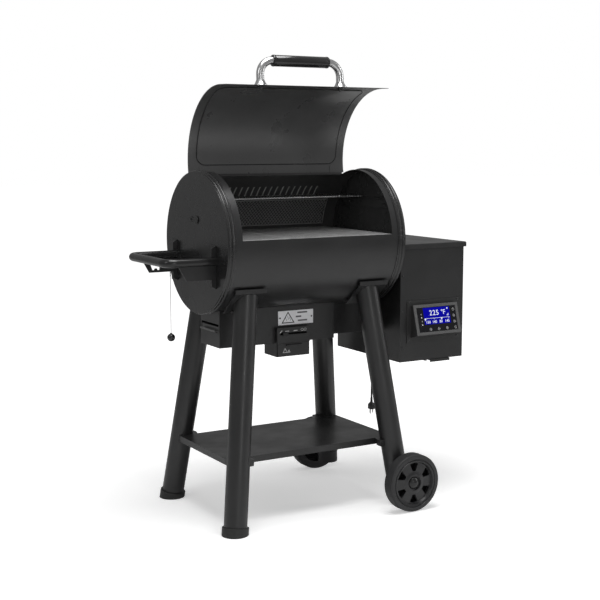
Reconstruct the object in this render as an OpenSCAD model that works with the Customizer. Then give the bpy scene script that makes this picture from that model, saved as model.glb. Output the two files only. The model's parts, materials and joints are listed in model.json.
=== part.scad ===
// Pellet smoker grill: a horizontal steel barrel on four splayed legs, with a hinged lid
// shown open, a pellet hopper with its controller on the right, a push handle on the left,
// a clean-out unit below and a storage shelf between the legs.
// X runs along the barrel, Y from front to back, Z up from the floor.  Millimetres.

/* [Barrel] */
// Outside diameter of the barrel sheet
barrel_d = 475; // [440:1:540]
// Height of the barrel's axis above the floor
barrel_z = 942; // [900:1:1100]
// Overall length over both end caps
barrel_len = 689; // [600:1:820]
// Thickness of the barrel sheet
barrel_wall = 2; // [1.2:0.1:3]
// Angle of the front lip above the barrel's axis
lip_angle = 5; // [2:0.5:12]
// Angle of the opening's rear edge, counted from the front over the top
rear_edge_angle = 112; // [108:0.5:113]
// Width of each end cap's rolled rim
rim_w = 30; // [24:1:40]
// Radius of the two beads rolled into a rim
bead_r = 4.7; // [3:0.1:6]
// Length of full barrel sheet left between a rim and the cooking opening
end_band = 24; // [12:1:40]
// Thickness of the end caps' sheet
cap_sheet = 2; // [1.2:0.1:3]

/* [Lid] */
// How far the lid stands open
lid_open = 76; // [20:1:80]
// Gap between the barrel and the closed lid's sheet
lid_gap = 8.5; // [7:0.5:14]
// Thickness of the lid's sheet
lid_sheet = 2; // [1.2:0.1:3]
// Gap between the lid's ends and the cap rims
lid_end_gap = 0.8; // [0.5:0.1:4]
// Angle at which the lid's curve ends and its straight front lip begins
lid_front_angle = 13; // [10:1:20]
// Angle of the lid's rear edge
lid_rear_angle = 115.2; // [113.5:0.1:116]
// Length of the lid's straight front lip
lid_lip = 42; // [20:1:50]
// Angle of the hinge line
hinge_angle = 117.4; // [116.5:0.1:120]
// Radius of the hinge pins
hinge_pin_r = 2.5; // [2:0.1:3]
// Margin between the lid's edge and its inner liner
liner_margin = 32; // [15:1:60]
// Thickness of the liner's sheet
liner_sheet = 1.2; // [0.8:0.1:2]

/* [Lid handle] */
// Distance between the two posts of the lid's handle
handle_span = 310; // [240:1:400]
// Height of the grip's axis above the lid
handle_rise = 83; // [70:1:110]
// Outside diameter of the handle's tube
handle_d = 26; // [20:1:32]
// Diameter of the grip
grip_d = 39; // [34:1:46]
// Angle on the lid's curve at which the handle stands
handle_angle = 17.6; // [15:0.1:40]
// Centre-line radius of the handle's bends
handle_bend = 46.5; // [36:0.5:50]
// Wall of the tubes that the two handles are bent from
tube_wall = 1.5; // [1:0.1:2.5]

/* [Legs and shelf] */
// Distance from the centre to a foot along the barrel
foot_x = 333; // [300:1:400]
// Distance from the centre to a foot across the barrel
foot_y = 250; // [230:1:300]
// Lean of each leg, both along and across the barrel
leg_lean = 7; // [4:0.5:9]
// Outside diameter of the leg tube
leg_d = 78; // [60:1:85]
// Wall of the leg tube
leg_wall = 1.8; // [1.2:0.1:3]
// Diameter of the foot caps
foot_cap_d = 90; // [86:1:110]
// Height of the foot caps
foot_cap_h = 24; // [15:1:50]
// Height of the shelf's top face
shelf_z = 238; // [200:1:400]
// Depth of the shelf's folded edge
shelf_fold = 22; // [12:1:40]
// Length of the shelf
shelf_len = 656; // [520:1:660]
// Depth of the shelf from front to back
shelf_w = 380; // [300:1:390]
// Length of a saddle plate along the barrel
saddle_len = 113; // [90:1:130]
// Direction in which a saddle meets the barrel, below the horizontal
saddle_angle = 50; // [45:1:55]

/* [Wheels] */
// Diameter of the wheels
wheel_d = 203; // [150:1:230]
// Width of the wheels
wheel_w = 45; // [30:1:50]
// Radius of the axle bolts
axle_r = 6; // [5:0.5:8]
// Gap between a leg and the inner face of its wheel
wheel_gap = 26; // [15:1:40]

/* [Side handle] */
// Reach of the side handle from the end cap to the middle of its bar
side_reach = 175; // [130:1:230]
// Distance between the side handle's two arms
side_span = 300; // [220:1:330]
// Diameter of the side handle's tube
side_d = 28; // [22:1:34]
// Height of the side handle's tube
side_z = 893; // [880:1:940]
// Centre-line radius of the side handle's corners
side_bend = 32; // [28:1:60]

/* [Hopper] */
// Gap between the barrel's end cap and the hopper
hopper_gap = 11.5; // [8:0.5:30]
// Width of the hopper along the barrel
hopper_w = 277; // [260:1:340]
// Distance from the barrel's axis to the hopper's front
hopper_front = 196; // [180:1:215]
// Distance from the barrel's axis to the hopper's back
hopper_back = 219; // [200:1:240]
// Height of the hopper's underside
hopper_z = 500; // [480:1:510]
// Height of the hopper's top edge
hopper_top = 902; // [880:1:930]
// Thickness of the hopper's sheet
hopper_wall = 1.5; // [1:0.1:2.5]
// Overhang of the hopper's lid
hopper_lid_over = 6; // [3:0.5:9]
// Depth of the hopper lid's skirt
hopper_lid_skirt = 18; // [12:1:30]

/* [Feed and fire] */
// Height of the auger's axis
auger_z = 669; // [667:0.5:669]
// Outside radius of the auger's tube
auger_tube_r = 30; // [26:1:30]
// Radius of the auger's shaft
auger_shaft_r = 6; // [5:0.5:8]
// Pitch of the auger's flight
auger_pitch = 45; // [35:1:60]
// Distance of the fire pot from the barrel's middle, towards the left
pot_x = 17; // [0:1:25]
// Outside radius of the fire pot
pot_r = 48; // [44:1:50]
// Thickness of the fire pot's casting
pot_wall = 4; // [3:0.5:5]

/* [Controller] */
// Width of the controller's bezel
bezel_w = 194; // [180:1:210]
// Height of the bezel, measured up its slope
bezel_h = 110; // [105:1:120]
// Lean of the bezel back from the vertical
bezel_lean = 16; // [10:1:22]
// Radius of the control buttons
button_r = 5.5; // [4:0.1:7]
// Travel of the control buttons
button_travel = 1; // [0.5:0.1:1.5]

/* [Hidden] */
$fn = 48;
fine = 180;

// Colours
black = [0.17, 0.17, 0.175];
dark = [0.11, 0.11, 0.115];
iron = [0.36, 0.36, 0.36];
steel = [0.62, 0.62, 0.62];
rubber = [0.05, 0.05, 0.05];

// Clearances
run_gap = 0.05;
slide_gap = 0.5;
touch_gap = 0.3;
eps = 1;

// Barrel
barrel_r = barrel_d / 2;
barrel_in = barrel_r - barrel_wall;
end_x = barrel_len / 2;
opening_x = end_x - rim_w - end_band;
lip_z = barrel_z + barrel_r * sin(lip_angle);
rim_base = 1.6;
rim_r = barrel_r + bead_r;
hood_x = 262;
hood_depth = 44;
hood_sheet = 1.5;
pan_z = barrel_z - 62;
pan_h = 22;
pan_x = end_x - 12;
pan_y = 196;
pan_sheet = 2;
drain_x = -200;
drain_r = 13.5;
slots = 20;
slot_pitch = 24;
slot_w = 7;
slot_lo = 138;
slot_hi = 176;
rack_z = barrel_z + 138;
port_y = -8;
port_z = barrel_z + 78;
port_pivot_y = 30;

// Lid, drawn closed and then turned about the hinge
lid_in = barrel_r + lid_gap;
lid_out = lid_in + lid_sheet;
lid_x = end_x - rim_w - lid_end_gap;
knuckle_r = hinge_pin_r + 2.7;
hinge_r = barrel_r + knuckle_r + 0.8;
hinge_y = -hinge_r * cos(hinge_angle);
hinge_z = barrel_z + hinge_r * sin(hinge_angle);
hinge_x = lid_x - 50;
hinge_w = 48;
leaf_t = 1.5;
leaf_w = 18;
rear_fold_r = lid_in - leaf_t - 0.6;
rear_fold_angle = 0.5;

// Legs, saddles and shelf
leg_r = leg_d / 2;
saddle_pad = 4;
saddle_plate = 4;
saddle_up = 54;
saddle_down = 66;
saddle_lip = 11;
saddle_under = barrel_r + saddle_pad + saddle_plate;
saddle_end = [-saddle_under * cos(saddle_angle) - saddle_up * sin(saddle_angle),
    barrel_z - saddle_under * sin(saddle_angle) + saddle_up * cos(saddle_angle)];
saddle_top_x = foot_x - 755 * tan(leg_lean);
shelf_sheet = 2;
shelf_ear = 15;
foot_floor = 4;
wheel_leg_z = 48;

// Wheels
wheel_r = wheel_d / 2;
axle_x = foot_x - wheel_r * tan(leg_lean);
axle_leg_y = foot_y - wheel_r * tan(leg_lean);
wheel_in_y = axle_leg_y + leg_r / cos(leg_lean) + wheel_gap;
wheel_out_y = wheel_in_y + wheel_w;
spokes = 6;
wheel_web = 21;

// Side handle and its brackets
side_x = end_x + side_reach;
side_y = side_span / 2;
bracket_t = 3;
bracket_w = 44;
bracket_lo = side_z - 91;
bracket_hi = side_z + 50;
web_lo = side_z - 60;
web_reach = side_reach - 39;

// Hopper
hopper_x = end_x + hopper_gap;
hopper_x2 = hopper_x + hopper_w;
hopper_mid = (hopper_x + hopper_x2) / 2;
hopper_lid_top = hopper_top + 19;
hopper_hinge_y = hopper_back + 7;
hopper_hinge_z = hopper_lid_top - 9;
bin_gap = 5;
bin_sheet = 1.5;
bin_bend_z = hopper_z + 300;
bin_x1 = hopper_x + hopper_wall + bin_gap;
bin_x2 = hopper_x2 - hopper_wall - bin_gap;
bin_y1 = -hopper_front + hopper_wall + bin_gap;
bin_y2 = hopper_back - hopper_wall - bin_gap;
bin_out_z = auger_z + auger_tube_r;
bin_out_x = hopper_mid - 50;
bin_out_w = 80;
bin_out_y = 20;
chute_x = hopper_mid + 36;
chute_w = 56;
chute_y = -hopper_front + 60;
chute_d = 44;
gate_w = 88;
gate_t = 3;

// Feed, fire and clean-out
auger_in = auger_tube_r - 2;
flight_r = auger_in - 2.5;
auger_x1 = -pot_x + pot_r - pot_wall;
auger_x2 = hopper_mid + 50;
motor_x2 = auger_x2 + 62;
base_x1 = -295;
base_x2 = 157;
base_y = 72;
base_z = 589;
base_sheet = 2;
duct_y = 56;
duct_z = 600;
pot_bottom = auger_z - auger_tube_r - 5;
pot_top = barrel_z - barrel_r + 30;
slider_t = 3;
unit_x1 = -pot_x - 65;
unit_x2 = -pot_x + 65;
unit_front = base_y + 16;
unit_z = base_z - 47;
unit_top = base_z + 54;
unit_sheet = 1.5;
unit_back = 4;
lever_travel = 40;
tray_x1 = base_x1;
tray_x2 = -110;
tray_z1 = base_z + 52;
tray_z2 = base_z + 77;
tray_y = 64;
grate_t = 12;
grate_gap = 1;
grate_w = 2 * (end_x - cap_sheet - 44) / 3;
grate_y = 222;
blower_x = hopper_x + 76;
blower_y = -36;
blower_z = hopper_z + 74;
blower_r = 50;
blower_d = 42;

// Controller
bezel_x = hopper_x + 142;
bezel_face_y = -hopper_front - 14;
bezel_top_z = hopper_z + 204;
glass_w = 170;
glass_h = 88;
glass_t = 2;
glass_proud = 0.6;
button_left = -37;
button_pitch_x = 36.6;
button_right = 73;
button_low = -36;
button_pitch_z = 21.8;
button_h = 9;
button_gap = 0.4;
button_spots = [for (i = [0:3]) [button_right, button_low + i * button_pitch_z],
    for (i = [0:2]) [button_left + i * button_pitch_x, button_low]];

// The middle of the whole object's length lies at X = 0
barrel_x = (side_x + side_d / 2 - hopper_x2 - hopper_lid_over) / 2;

// Routes of the two cords, in the barrel's frame
tether_d = 2;
tether_x = -372;
tether_y = 151;
tether_zs = [833, 820, 805, 790, 775, 760, 745, 730, 715, 700, 685, 670, 655, 640, 628, 618];
tether_route = [for (z = tether_zs) [tether_x, tether_y, z]];
ball_d = 28;
ball_neck = 2;
lead_d = 7;
lead_x = 553;
coil_y1 = 232;
coil_y2 = 276;
coil_z = 676;
coil_r = 35.5;
lead_route = [for (z = [740, 732, 724, 716, 708, 700, 692]) [lead_x, coil_y1, z]];
tail_route = [for (z = [660, 645, 630, 615, 600, 585, 570, 555, 540, 525, 510, 495, 480, 465,
    450, 435, 420, 405, 390, 375, 360, 345, 330, 315, 300, 282, 265]) [lead_x, coil_y2, z]];
plug_z = 265;
blade_x = 6.35;
hook_w = 14;
hook_t = 3;

function around(r, a) = [-r * cos(a), barrel_z + r * sin(a)];
function leg_at(sx, sy, z) = [sx * (foot_x - z * tan(leg_lean)), sy * (foot_y - z * tan(leg_lean)), z];

module place() translate([barrel_x, 0, 0]) children();
module span(lo, hi) translate(lo) cube(hi - lo);
module xcyl(r, x1, x2, y = 0, z = 0) translate([x1, y, z]) rotate([0, 90, 0]) cylinder(r = r, h = x2 - x1);
module ycyl(r, y1, y2, x = 0, z = 0) translate([x, y2, z]) rotate([90, 0, 0]) cylinder(r = r, h = y2 - y1);
module zcyl(r, z1, z2, x = 0, y = 0) translate([x, y, z1]) cylinder(r = r, h = z2 - z1);
module along_x(x1, x2) translate([x1, 0, 0]) rotate([90, 0, 90]) linear_extrude(x2 - x1) children();

// A slice of a ring about the barrel's axis, drawn in the Y-Z plane
module sector(r1, r2, a1, a2) intersection() {
    translate([0, barrel_z]) difference() {
        circle(r2, $fn = fine);
        circle(r1, $fn = fine);
    }
    polygon(concat([[0, barrel_z]],
        [for (i = [0:8]) around(2 * r2, a1 + (a2 - a1) * i / 8)]));
}

// Puts its children on the barrel's axis with Z pointing outwards at angle a
module facing(a) translate([0, 0, barrel_z]) rotate([90 - a, 0, 0]) children();

// Turns what is drawn closed on the barrel to the lid's open position
module opened() translate([0, hinge_y, hinge_z]) rotate([-lid_open, 0, 0])
    translate([0, -hinge_y, -hinge_z]) children();

// Barrel -------------------------------------------------------------------------------

// The barrel's sheet, with the cooking opening, a fold along its rear edge, and smoke slots
module barrel_shell() color(black) place() {
    difference() {
        xcyl(barrel_r, -end_x + cap_sheet, end_x - cap_sheet, z = barrel_z, $fn = fine);
        xcyl(barrel_in, -end_x, end_x, z = barrel_z, $fn = fine);
        along_x(-opening_x, opening_x) polygon(concat([[0, barrel_z]],
            [for (i = [0:8]) around(2 * barrel_r, lip_angle + (rear_edge_angle - lip_angle) * i / 8)]));
        for (i = [0:slots - 1]) translate([(i - (slots - 1) / 2) * slot_pitch, 0, barrel_z])
            span([-slot_w / 2, 100, slot_lo], [slot_w / 2, barrel_r, slot_hi]);
        zcyl(pot_r + 1, barrel_z - barrel_r - eps, barrel_z - barrel_r + 20, -pot_x);
        zcyl(drain_r + touch_gap + 0.2, barrel_z - barrel_r - eps, barrel_z - barrel_r + 20, drain_x);
    }
    along_x(-opening_x, opening_x)
        sector(barrel_in, rear_fold_r, rear_edge_angle, rear_edge_angle + rear_fold_angle);
}

// An end cap: a flat disc with two beads rolled into its rim, outer face at Z = 0
module end_cap() rotate_extrude($fn = fine) difference() {
    union() {
        square([barrel_r + rim_base, cap_sheet]);
        square([barrel_r + rim_base, rim_w]);
        for (x = [8, 20]) translate([barrel_r, x]) circle(bead_r, $fn = 32);
    }
    translate([0, cap_sheet]) square([barrel_r, rim_w]);
}

module left_end_cap() color(black) place() difference() {
    translate([-end_x, 0, barrel_z]) rotate([0, 90, 0]) end_cap();
    xcyl(9, -end_x - eps, -end_x + cap_sheet + eps, port_y, port_z);
}

module right_end_cap() color(black) place()
    translate([end_x, 0, barrel_z]) rotate([0, -90, 0]) end_cap();

// A cowl over the rear smoke slots, open downwards
module exhaust_hood() color(black) place() difference() {
    along_x(-hood_x, hood_x) sector(barrel_r, barrel_r + hood_depth, 130, 160);
    along_x(-hood_x + hood_sheet, hood_x - hood_sheet)
        sector(barrel_r - eps, barrel_r + hood_depth - hood_sheet, 130.4, 162);
}

module rear_baffle() color(dark) place() {
    along_x(-opening_x, opening_x) sector(barrel_in - 8, barrel_in - 6.5, 146, 172);
    for (x = [-200, 0, 200], a = [150, 168])
        translate([x, 0, 0]) facing(a) zcyl(4, barrel_in - 6.5, barrel_in - run_gap);
}

module support_rails() color(dark) place() for (s = [-1, 1]) mirror([s < 0 ? 1 : 0, 0, 0]) {
    difference() {
        span([end_x - cap_sheet - 12, -150, rack_z - 35], [end_x - cap_sheet, 160, rack_z]);
        span([end_x - cap_sheet - 13, -160, rack_z - 36], [end_x - cap_sheet - 2, 170, rack_z - 2]);
        for (y = [-110, 40, 110])
            span([end_x - cap_sheet - 20, y - 8, rack_z - 23], [end_x, y + 8, rack_z - 17]);
    }
    span([end_x - cap_sheet - 40, -190, lip_z - grate_t - 3], [end_x - cap_sheet, 190, lip_z - grate_t]);
    span([end_x - cap_sheet - 30, -150, pan_z - 3], [end_x - cap_sheet, 150, pan_z]);
}

module warming_rack() color(steel) place() {
    long_r = 2.5;
    cross_r = 1.5;
    for (y = [26, 90, 152])
        xcyl(long_r, -end_x + cap_sheet + 4, end_x - cap_sheet - 4, y, rack_z + long_r, $fn = 16);
    for (i = [0:27]) ycyl(cross_r, 23, 155, -324 + 24 * i, rack_z + 2 * long_r + cross_r - 0.1, $fn = 16);
}

// Three castings side by side, each with rows of slots between its bars
module cooking_grates() color(iron) place()
    for (k = [-1:1]) translate([k * (grate_w + grate_gap), 0, 0]) difference() {
        slot_edge = 13;
        rib = 12;
        slot_half = 5;
        row_pitch = (2 * grate_y - rib) / 3;
        span([-grate_w / 2, -grate_y, lip_z - grate_t], [grate_w / 2, grate_y, lip_z]);
        for (i = [0:10], row = [0:2]) {
            slot_x = -grate_w / 2 + slot_edge + i * (grate_w - 2 * slot_edge) / 10;
            slot_y = -grate_y + rib + row * row_pitch;
            span([slot_x - slot_half, slot_y, lip_z - grate_t - eps],
                [slot_x + slot_half, slot_y + row_pitch - rib, lip_z + eps]);
        }
    }

// The sloping pan that catches fat and leads it to the drain on the left
module drip_pan() color(dark) place() difference() {
    union() {
        span([-pan_x, -pan_y, pan_z], [pan_x, pan_y, pan_z + pan_h]);
        zcyl(drain_r, barrel_z - barrel_r - 8, pan_z + 1, drain_x);
    }
    span([-pan_x + pan_sheet, -pan_y + pan_sheet, pan_z + pan_sheet],
        [pan_x - pan_sheet, pan_y - pan_sheet, pan_z + pan_h + eps]);
    zcyl(drain_r - 1.5, barrel_z - barrel_r - 9, pan_z + 3, drain_x);
}

module heat_deflector() color(dark) place() {
    plate_z = barrel_z - 130;
    along_x(-pot_x - 110, -pot_x + 110) polygon([[-120, plate_z - 22], [0, plate_z],
        [120, plate_z - 22], [120, plate_z - 20], [0, plate_z + 2], [-120, plate_z - 20]]);
    for (s = [-1, 1], x = [-pot_x - 90, -pot_x + 90]) difference() {
        zcyl(5, barrel_z - barrel_r, plate_z - 16, x, 100 * s);
        xcyl(400, x - 10, x + 10, z = plate_z - 14 + 400, $fn = 120);
        difference() {
            xcyl(300, x - 20, x + 20, z = barrel_z, $fn = fine);
            xcyl(barrel_in, x - 21, x + 21, z = barrel_z, $fn = fine);
        }
    }
}

// Fire, feed and air -------------------------------------------------------------------

module fire_pot() color(iron) place() difference() {
    zcyl(pot_r, pot_bottom, pot_top, -pot_x);
    zcyl(pot_r - pot_wall, pot_bottom - eps, pot_top + eps, -pot_x);
    for (i = [0:11], z = [pot_bottom + 58, pot_bottom + 68]) translate([-pot_x, 0, z])
        rotate([0, 0, 30 * i + 15]) xcyl(2.5, pot_r - pot_wall - eps, pot_r + eps, $fn = 16);
    xcyl(auger_tube_r + run_gap, -pot_x, auger_x1 + 20, 0, auger_z);
    xcyl(4 + run_gap, -pot_x - pot_r - eps, -pot_x, 0, pot_bottom + 12);
}

module igniter_rod() color(steel) place() {
    xcyl(4, -pot_x - pot_r - 34, -pot_x - pot_r + 20, 0, pot_bottom + 12);
    xcyl(8, -pot_x - pot_r - 12, -pot_x - pot_r, 0, pot_bottom + 12);
}

module auger_tube() color(steel) place() difference() {
    xcyl(auger_tube_r, auger_x1 + 1, auger_x2, 0, auger_z);
    xcyl(auger_in, auger_x1 - eps, auger_x2 + eps, 0, auger_z);
    span([bin_out_x - bin_out_w / 2, -bin_out_y, auger_z],
        [bin_out_x + bin_out_w / 2, bin_out_y, auger_z + auger_tube_r + eps]);
}

module auger_screw() color(iron) place() {
    screw_len = auger_x2 - auger_x1 - 8;
    turns = floor(screw_len / auger_pitch);
    xcyl(auger_shaft_r, auger_x1 + 4, auger_x2 + 20, 0, auger_z);
    translate([auger_x1 + 4, 0, auger_z]) rotate([0, 90, 0])
        linear_extrude(turns * auger_pitch, twist = -360 * turns, slices = 12 * turns, $fn = 8)
            translate([0, -2]) square([flight_r, 4]);
}

module auger_motor() color(steel) place() difference() {
    union() {
        span([auger_x2, -34, auger_z - 34], [auger_x2 + 22, 34, auger_z + 34]);
        xcyl(24, auger_x2 + 22, motor_x2, 0, auger_z - 6);
        xcyl(8, motor_x2, motor_x2 + 8, 0, auger_z - 6);
    }
    xcyl(auger_shaft_r + run_gap, auger_x2 - eps, auger_x2 + 21, 0, auger_z);
}

// A scroll blower whose outlet feeds air along the duct to the fire pot
module blower_housing() color(dark) place() difference() {
    union() {
        ycyl(blower_r, blower_y - blower_d / 2, blower_y + blower_d / 2, blower_x, blower_z);
        span([hopper_x + hopper_wall, blower_y - blower_d / 2, blower_z + 22],
            [blower_x, blower_y + blower_d / 2, blower_z + blower_r]);
        span([blower_x - 30, blower_y + blower_d / 2 - 4, hopper_z + hopper_wall],
            [blower_x + 30, blower_y + blower_d / 2, blower_z]);
    }
    ycyl(blower_r - 2, blower_y - blower_d / 2 + 2, blower_y + blower_d / 2 - 2, blower_x, blower_z);
    span([hopper_x, blower_y - blower_d / 2 + 2, blower_z + 24],
        [blower_x, blower_y + blower_d / 2 - 2, blower_z + blower_r - 2]);
    ycyl(24, blower_y - blower_d / 2 - eps, blower_y, blower_x, blower_z);
    ycyl(4 + run_gap, blower_y, blower_y + blower_d, blower_x, blower_z);
}

module blower_impeller() color(steel) place() translate([blower_x, blower_y, blower_z]) {
    ycyl(4, -4, blower_d / 2 - 0.5);
    ycyl(38, 8, 10);
    for (i = [0:11]) rotate([0, 30 * i, 0]) span([20, -12, -1], [38, 9, 1]);
}

module base_housing() color(black) place() difference() {
    span([base_x1, -base_y, base_z], [base_x2, base_y, barrel_z]);
    span([base_x1 + base_sheet, -base_y + base_sheet, base_z + base_sheet],
        [base_x2 - base_sheet, base_y - base_sheet, barrel_z + eps]);
    xcyl(barrel_r, -end_x, end_x, z = barrel_z, $fn = fine);
    span([base_x1 - eps, -tray_y - 1, tray_z1 - 1], [base_x1 + base_sheet + eps, tray_y + 1, tray_z2 + 3]);
    span([unit_x1 + 20, -58, base_z - eps], [unit_x2 - 20, -unit_back, base_z + base_sheet + eps]);
    span([-pot_x - 36, -unit_back - eps, base_z - eps], [-pot_x + 36, 36, base_z + base_sheet + eps]);
    span([unit_x1 + 12, -base_y - eps, pot_bottom - slider_t - 13],
        [unit_x2 - 12, -base_y + base_sheet + eps, pot_bottom + 2]);
    span([base_x2 - base_sheet - eps, -duct_y + base_sheet, duct_z + base_sheet],
        [base_x2 + eps, duct_y - base_sheet, barrel_z]);
}

module feed_duct() color(black) place() difference() {
    span([base_x2, -duct_y, duct_z], [hopper_x, duct_y, barrel_z]);
    span([base_x2 - eps, -duct_y + base_sheet, duct_z + base_sheet],
        [hopper_x + eps, duct_y - base_sheet, barrel_z - barrel_r - 3]);
    xcyl(barrel_r, 0, end_x - rim_w, z = barrel_z, $fn = fine);
    xcyl(rim_r + touch_gap, end_x - rim_w - touch_gap, 2 * end_x, z = barrel_z, $fn = fine);
}

module info_plate() color(steel) place() difference() {
    span([-70, -base_y - 1.5, base_z + 61], [70, -base_y, base_z + 110]);
    for (s = [-1, 1]) ycyl(2, -base_y - 2, -base_y + eps, 63 * s, base_z + 85.5);
}

// Clean-out unit -----------------------------------------------------------------------

module cleanout_housing() color(black) place() {
    difference() {
        span([unit_x1, -unit_front, base_z], [unit_x2, -base_y, unit_top]);
        span([unit_x1 + unit_sheet, -unit_front + unit_sheet, base_z - eps],
            [unit_x2 - unit_sheet, -base_y + eps, unit_top - unit_sheet]);
        span([unit_x1 + 12, -unit_front - eps, pot_bottom - slider_t - 13],
            [unit_x2 - 12, -unit_front + unit_sheet + eps, pot_bottom - 9]);
    }
    difference() {
        span([unit_x1, -unit_front + 3, unit_z], [unit_x2, unit_back, base_z]);
        span([unit_x1 + unit_sheet, -unit_front - eps, unit_z + unit_sheet],
            [unit_x2 - unit_sheet, unit_back - unit_sheet, base_z + eps]);
    }
}

// A slide under the fire pot, worked by a tab on the unit's front
module cleanout_lever() color(dark) place() {
    slide_z = pot_bottom - slider_t;
    span([-pot_x - 50, -base_y + 6, slide_z - slide_gap], [-pot_x + 48, 46, pot_bottom - slide_gap]);
    span([-pot_x - 44, -unit_front - 3, slide_z - 11], [-pot_x - 28, -base_y + 9, slide_z - 8]);
    span([-pot_x - 44, -base_y + 6, slide_z - 11], [-pot_x - 28, -base_y + 9, slide_z]);
    span([-pot_x - 46, -unit_front - 9, slide_z - 15], [-pot_x - 26, -unit_front - 3, slide_z - 4]);
}

module ash_drawer() color(black) place() {
    gap = slide_gap + unit_sheet;
    difference() {
        span([unit_x1 + gap, -unit_front + 4, unit_z + gap], [unit_x2 - gap, unit_back - gap, base_z - 4]);
        span([unit_x1 + gap + 1.5, -unit_front + 5, unit_z + gap + 1.5],
            [unit_x2 - gap - 1.5, unit_back - gap - 1.5, base_z]);
    }
    span([unit_x1 + gap, -unit_front, unit_z + gap], [unit_x2 - gap, -unit_front + 4, base_z - slide_gap]);
    span([unit_x1 + 34, -unit_front - 8, base_z - 9], [unit_x2 - 34, -unit_front, base_z - 6]);
}

module grease_tray() color(iron) place() {
    difference() {
        span([tray_x1 + 2, -tray_y, tray_z1], [tray_x2, tray_y, tray_z2 - 6]);
        span([tray_x1 + 4, -tray_y + 2, tray_z1 + 2], [tray_x2 - 2, tray_y - 2, tray_z2]);
    }
    span([tray_x1 - 9, -tray_y + 8, tray_z1 + 2], [tray_x1 + 2, tray_y - 8, tray_z1 + 4.5]);
    span([tray_x1 - 11, -tray_y + 8, tray_z1 + 2], [tray_x1 - 9, tray_y - 8, tray_z1 + 9]);
}

// Hopper -------------------------------------------------------------------------------

module hopper_shell() color(black) place() {
    difference() {
        span([hopper_x, -hopper_front, hopper_z], [hopper_x2, hopper_back, hopper_top]);
        span([hopper_x + hopper_wall, -hopper_front + hopper_wall, hopper_z + hopper_wall],
            [hopper_x2 - hopper_wall, hopper_back - hopper_wall, hopper_top + eps]);
        xcyl(auger_tube_r + touch_gap, hopper_x - eps, hopper_x + 5, 0, auger_z);
        span([hopper_x - eps, blower_y - blower_d / 2 + 2, blower_z + 24],
            [hopper_x + 5, blower_y + blower_d / 2 - 2, blower_z + blower_r - 2]);
        span([bezel_x - 80, -hopper_front - eps, bezel_top_z - 92],
            [bezel_x + 80, -hopper_front + 5, bezel_top_z - 12]);
        span([chute_x - chute_w / 2 + bin_sheet, chute_y - chute_d / 2 + bin_sheet, hopper_z - eps],
            [chute_x + chute_w / 2 - bin_sheet, chute_y + chute_d / 2 - bin_sheet, hopper_z + 5]);
        for (i = [0:7]) translate([hopper_mid - 70 + 20 * i, 0, 0])
            span([-4, hopper_back - 5, hopper_z + 60], [4, hopper_back + eps, hopper_z + 110]);
    }
    for (y = [-110, 110], z = [barrel_z - 150, barrel_z - 70]) xcyl(9, end_x, hopper_x, y, z);
    for (s = [-1, 1]) span([chute_x + s * (gate_w / 2 + 3) - 3, chute_y - 42, hopper_z - 6],
        [chute_x + s * (gate_w / 2 + 3) + 3, chute_y + 36, hopper_z]);
    for (s = [-1, 1]) span([chute_x + s * (gate_w / 2 + 1) - 5, chute_y - 42, hopper_z - 7.5],
        [chute_x + s * (gate_w / 2 + 1) + 5, chute_y + 36, hopper_z - 6]);
    for (x = [hopper_x + 50, hopper_x2 - 50]) difference() {
        union() {
            xcyl(5.2, x - 24, x - 9, hopper_hinge_y, hopper_hinge_z);
            xcyl(5.2, x + 9, x + 24, hopper_hinge_y, hopper_hinge_z);
            for (e = [-24, 9]) span([x + e, hopper_back, hopper_top - 26],
                [x + e + 15, hopper_back + 2, hopper_hinge_z]);
            for (e = [-24, 9]) span([x + e, hopper_back, hopper_hinge_z - 5.2],
                [x + e + 15, hopper_hinge_y, hopper_hinge_z - 2.8]);
        }
        xcyl(hinge_pin_r, x - 30, x + 30, hopper_hinge_y, hopper_hinge_z);
    }
    for (x = [hopper_x + 50, hopper_x2 - 50])
        xcyl(hinge_pin_r, x - 26, x + 26, hopper_hinge_y, hopper_hinge_z);
}

// The funnel's inside; grow widens it by the sheet's thickness
module bin_funnel(grow) hull() {
    span([bin_x1 - grow, bin_y1 - grow, bin_bend_z - 1], [bin_x2 + grow, bin_y2 + grow, bin_bend_z]);
    span([bin_out_x - bin_out_w / 2 - grow, -bin_out_y - grow, bin_out_z],
        [bin_out_x + bin_out_w / 2 + grow, bin_out_y + grow, bin_out_z + eps]);
}

// A shaft down from the funnel's slope, at its outside or, with inset, at its inside
module dump_shaft(inset, z1, z2) span([chute_x - chute_w / 2 + inset, chute_y - chute_d / 2 + inset, z1],
    [chute_x + chute_w / 2 - inset, chute_y + chute_d / 2 - inset, z2]);

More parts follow.
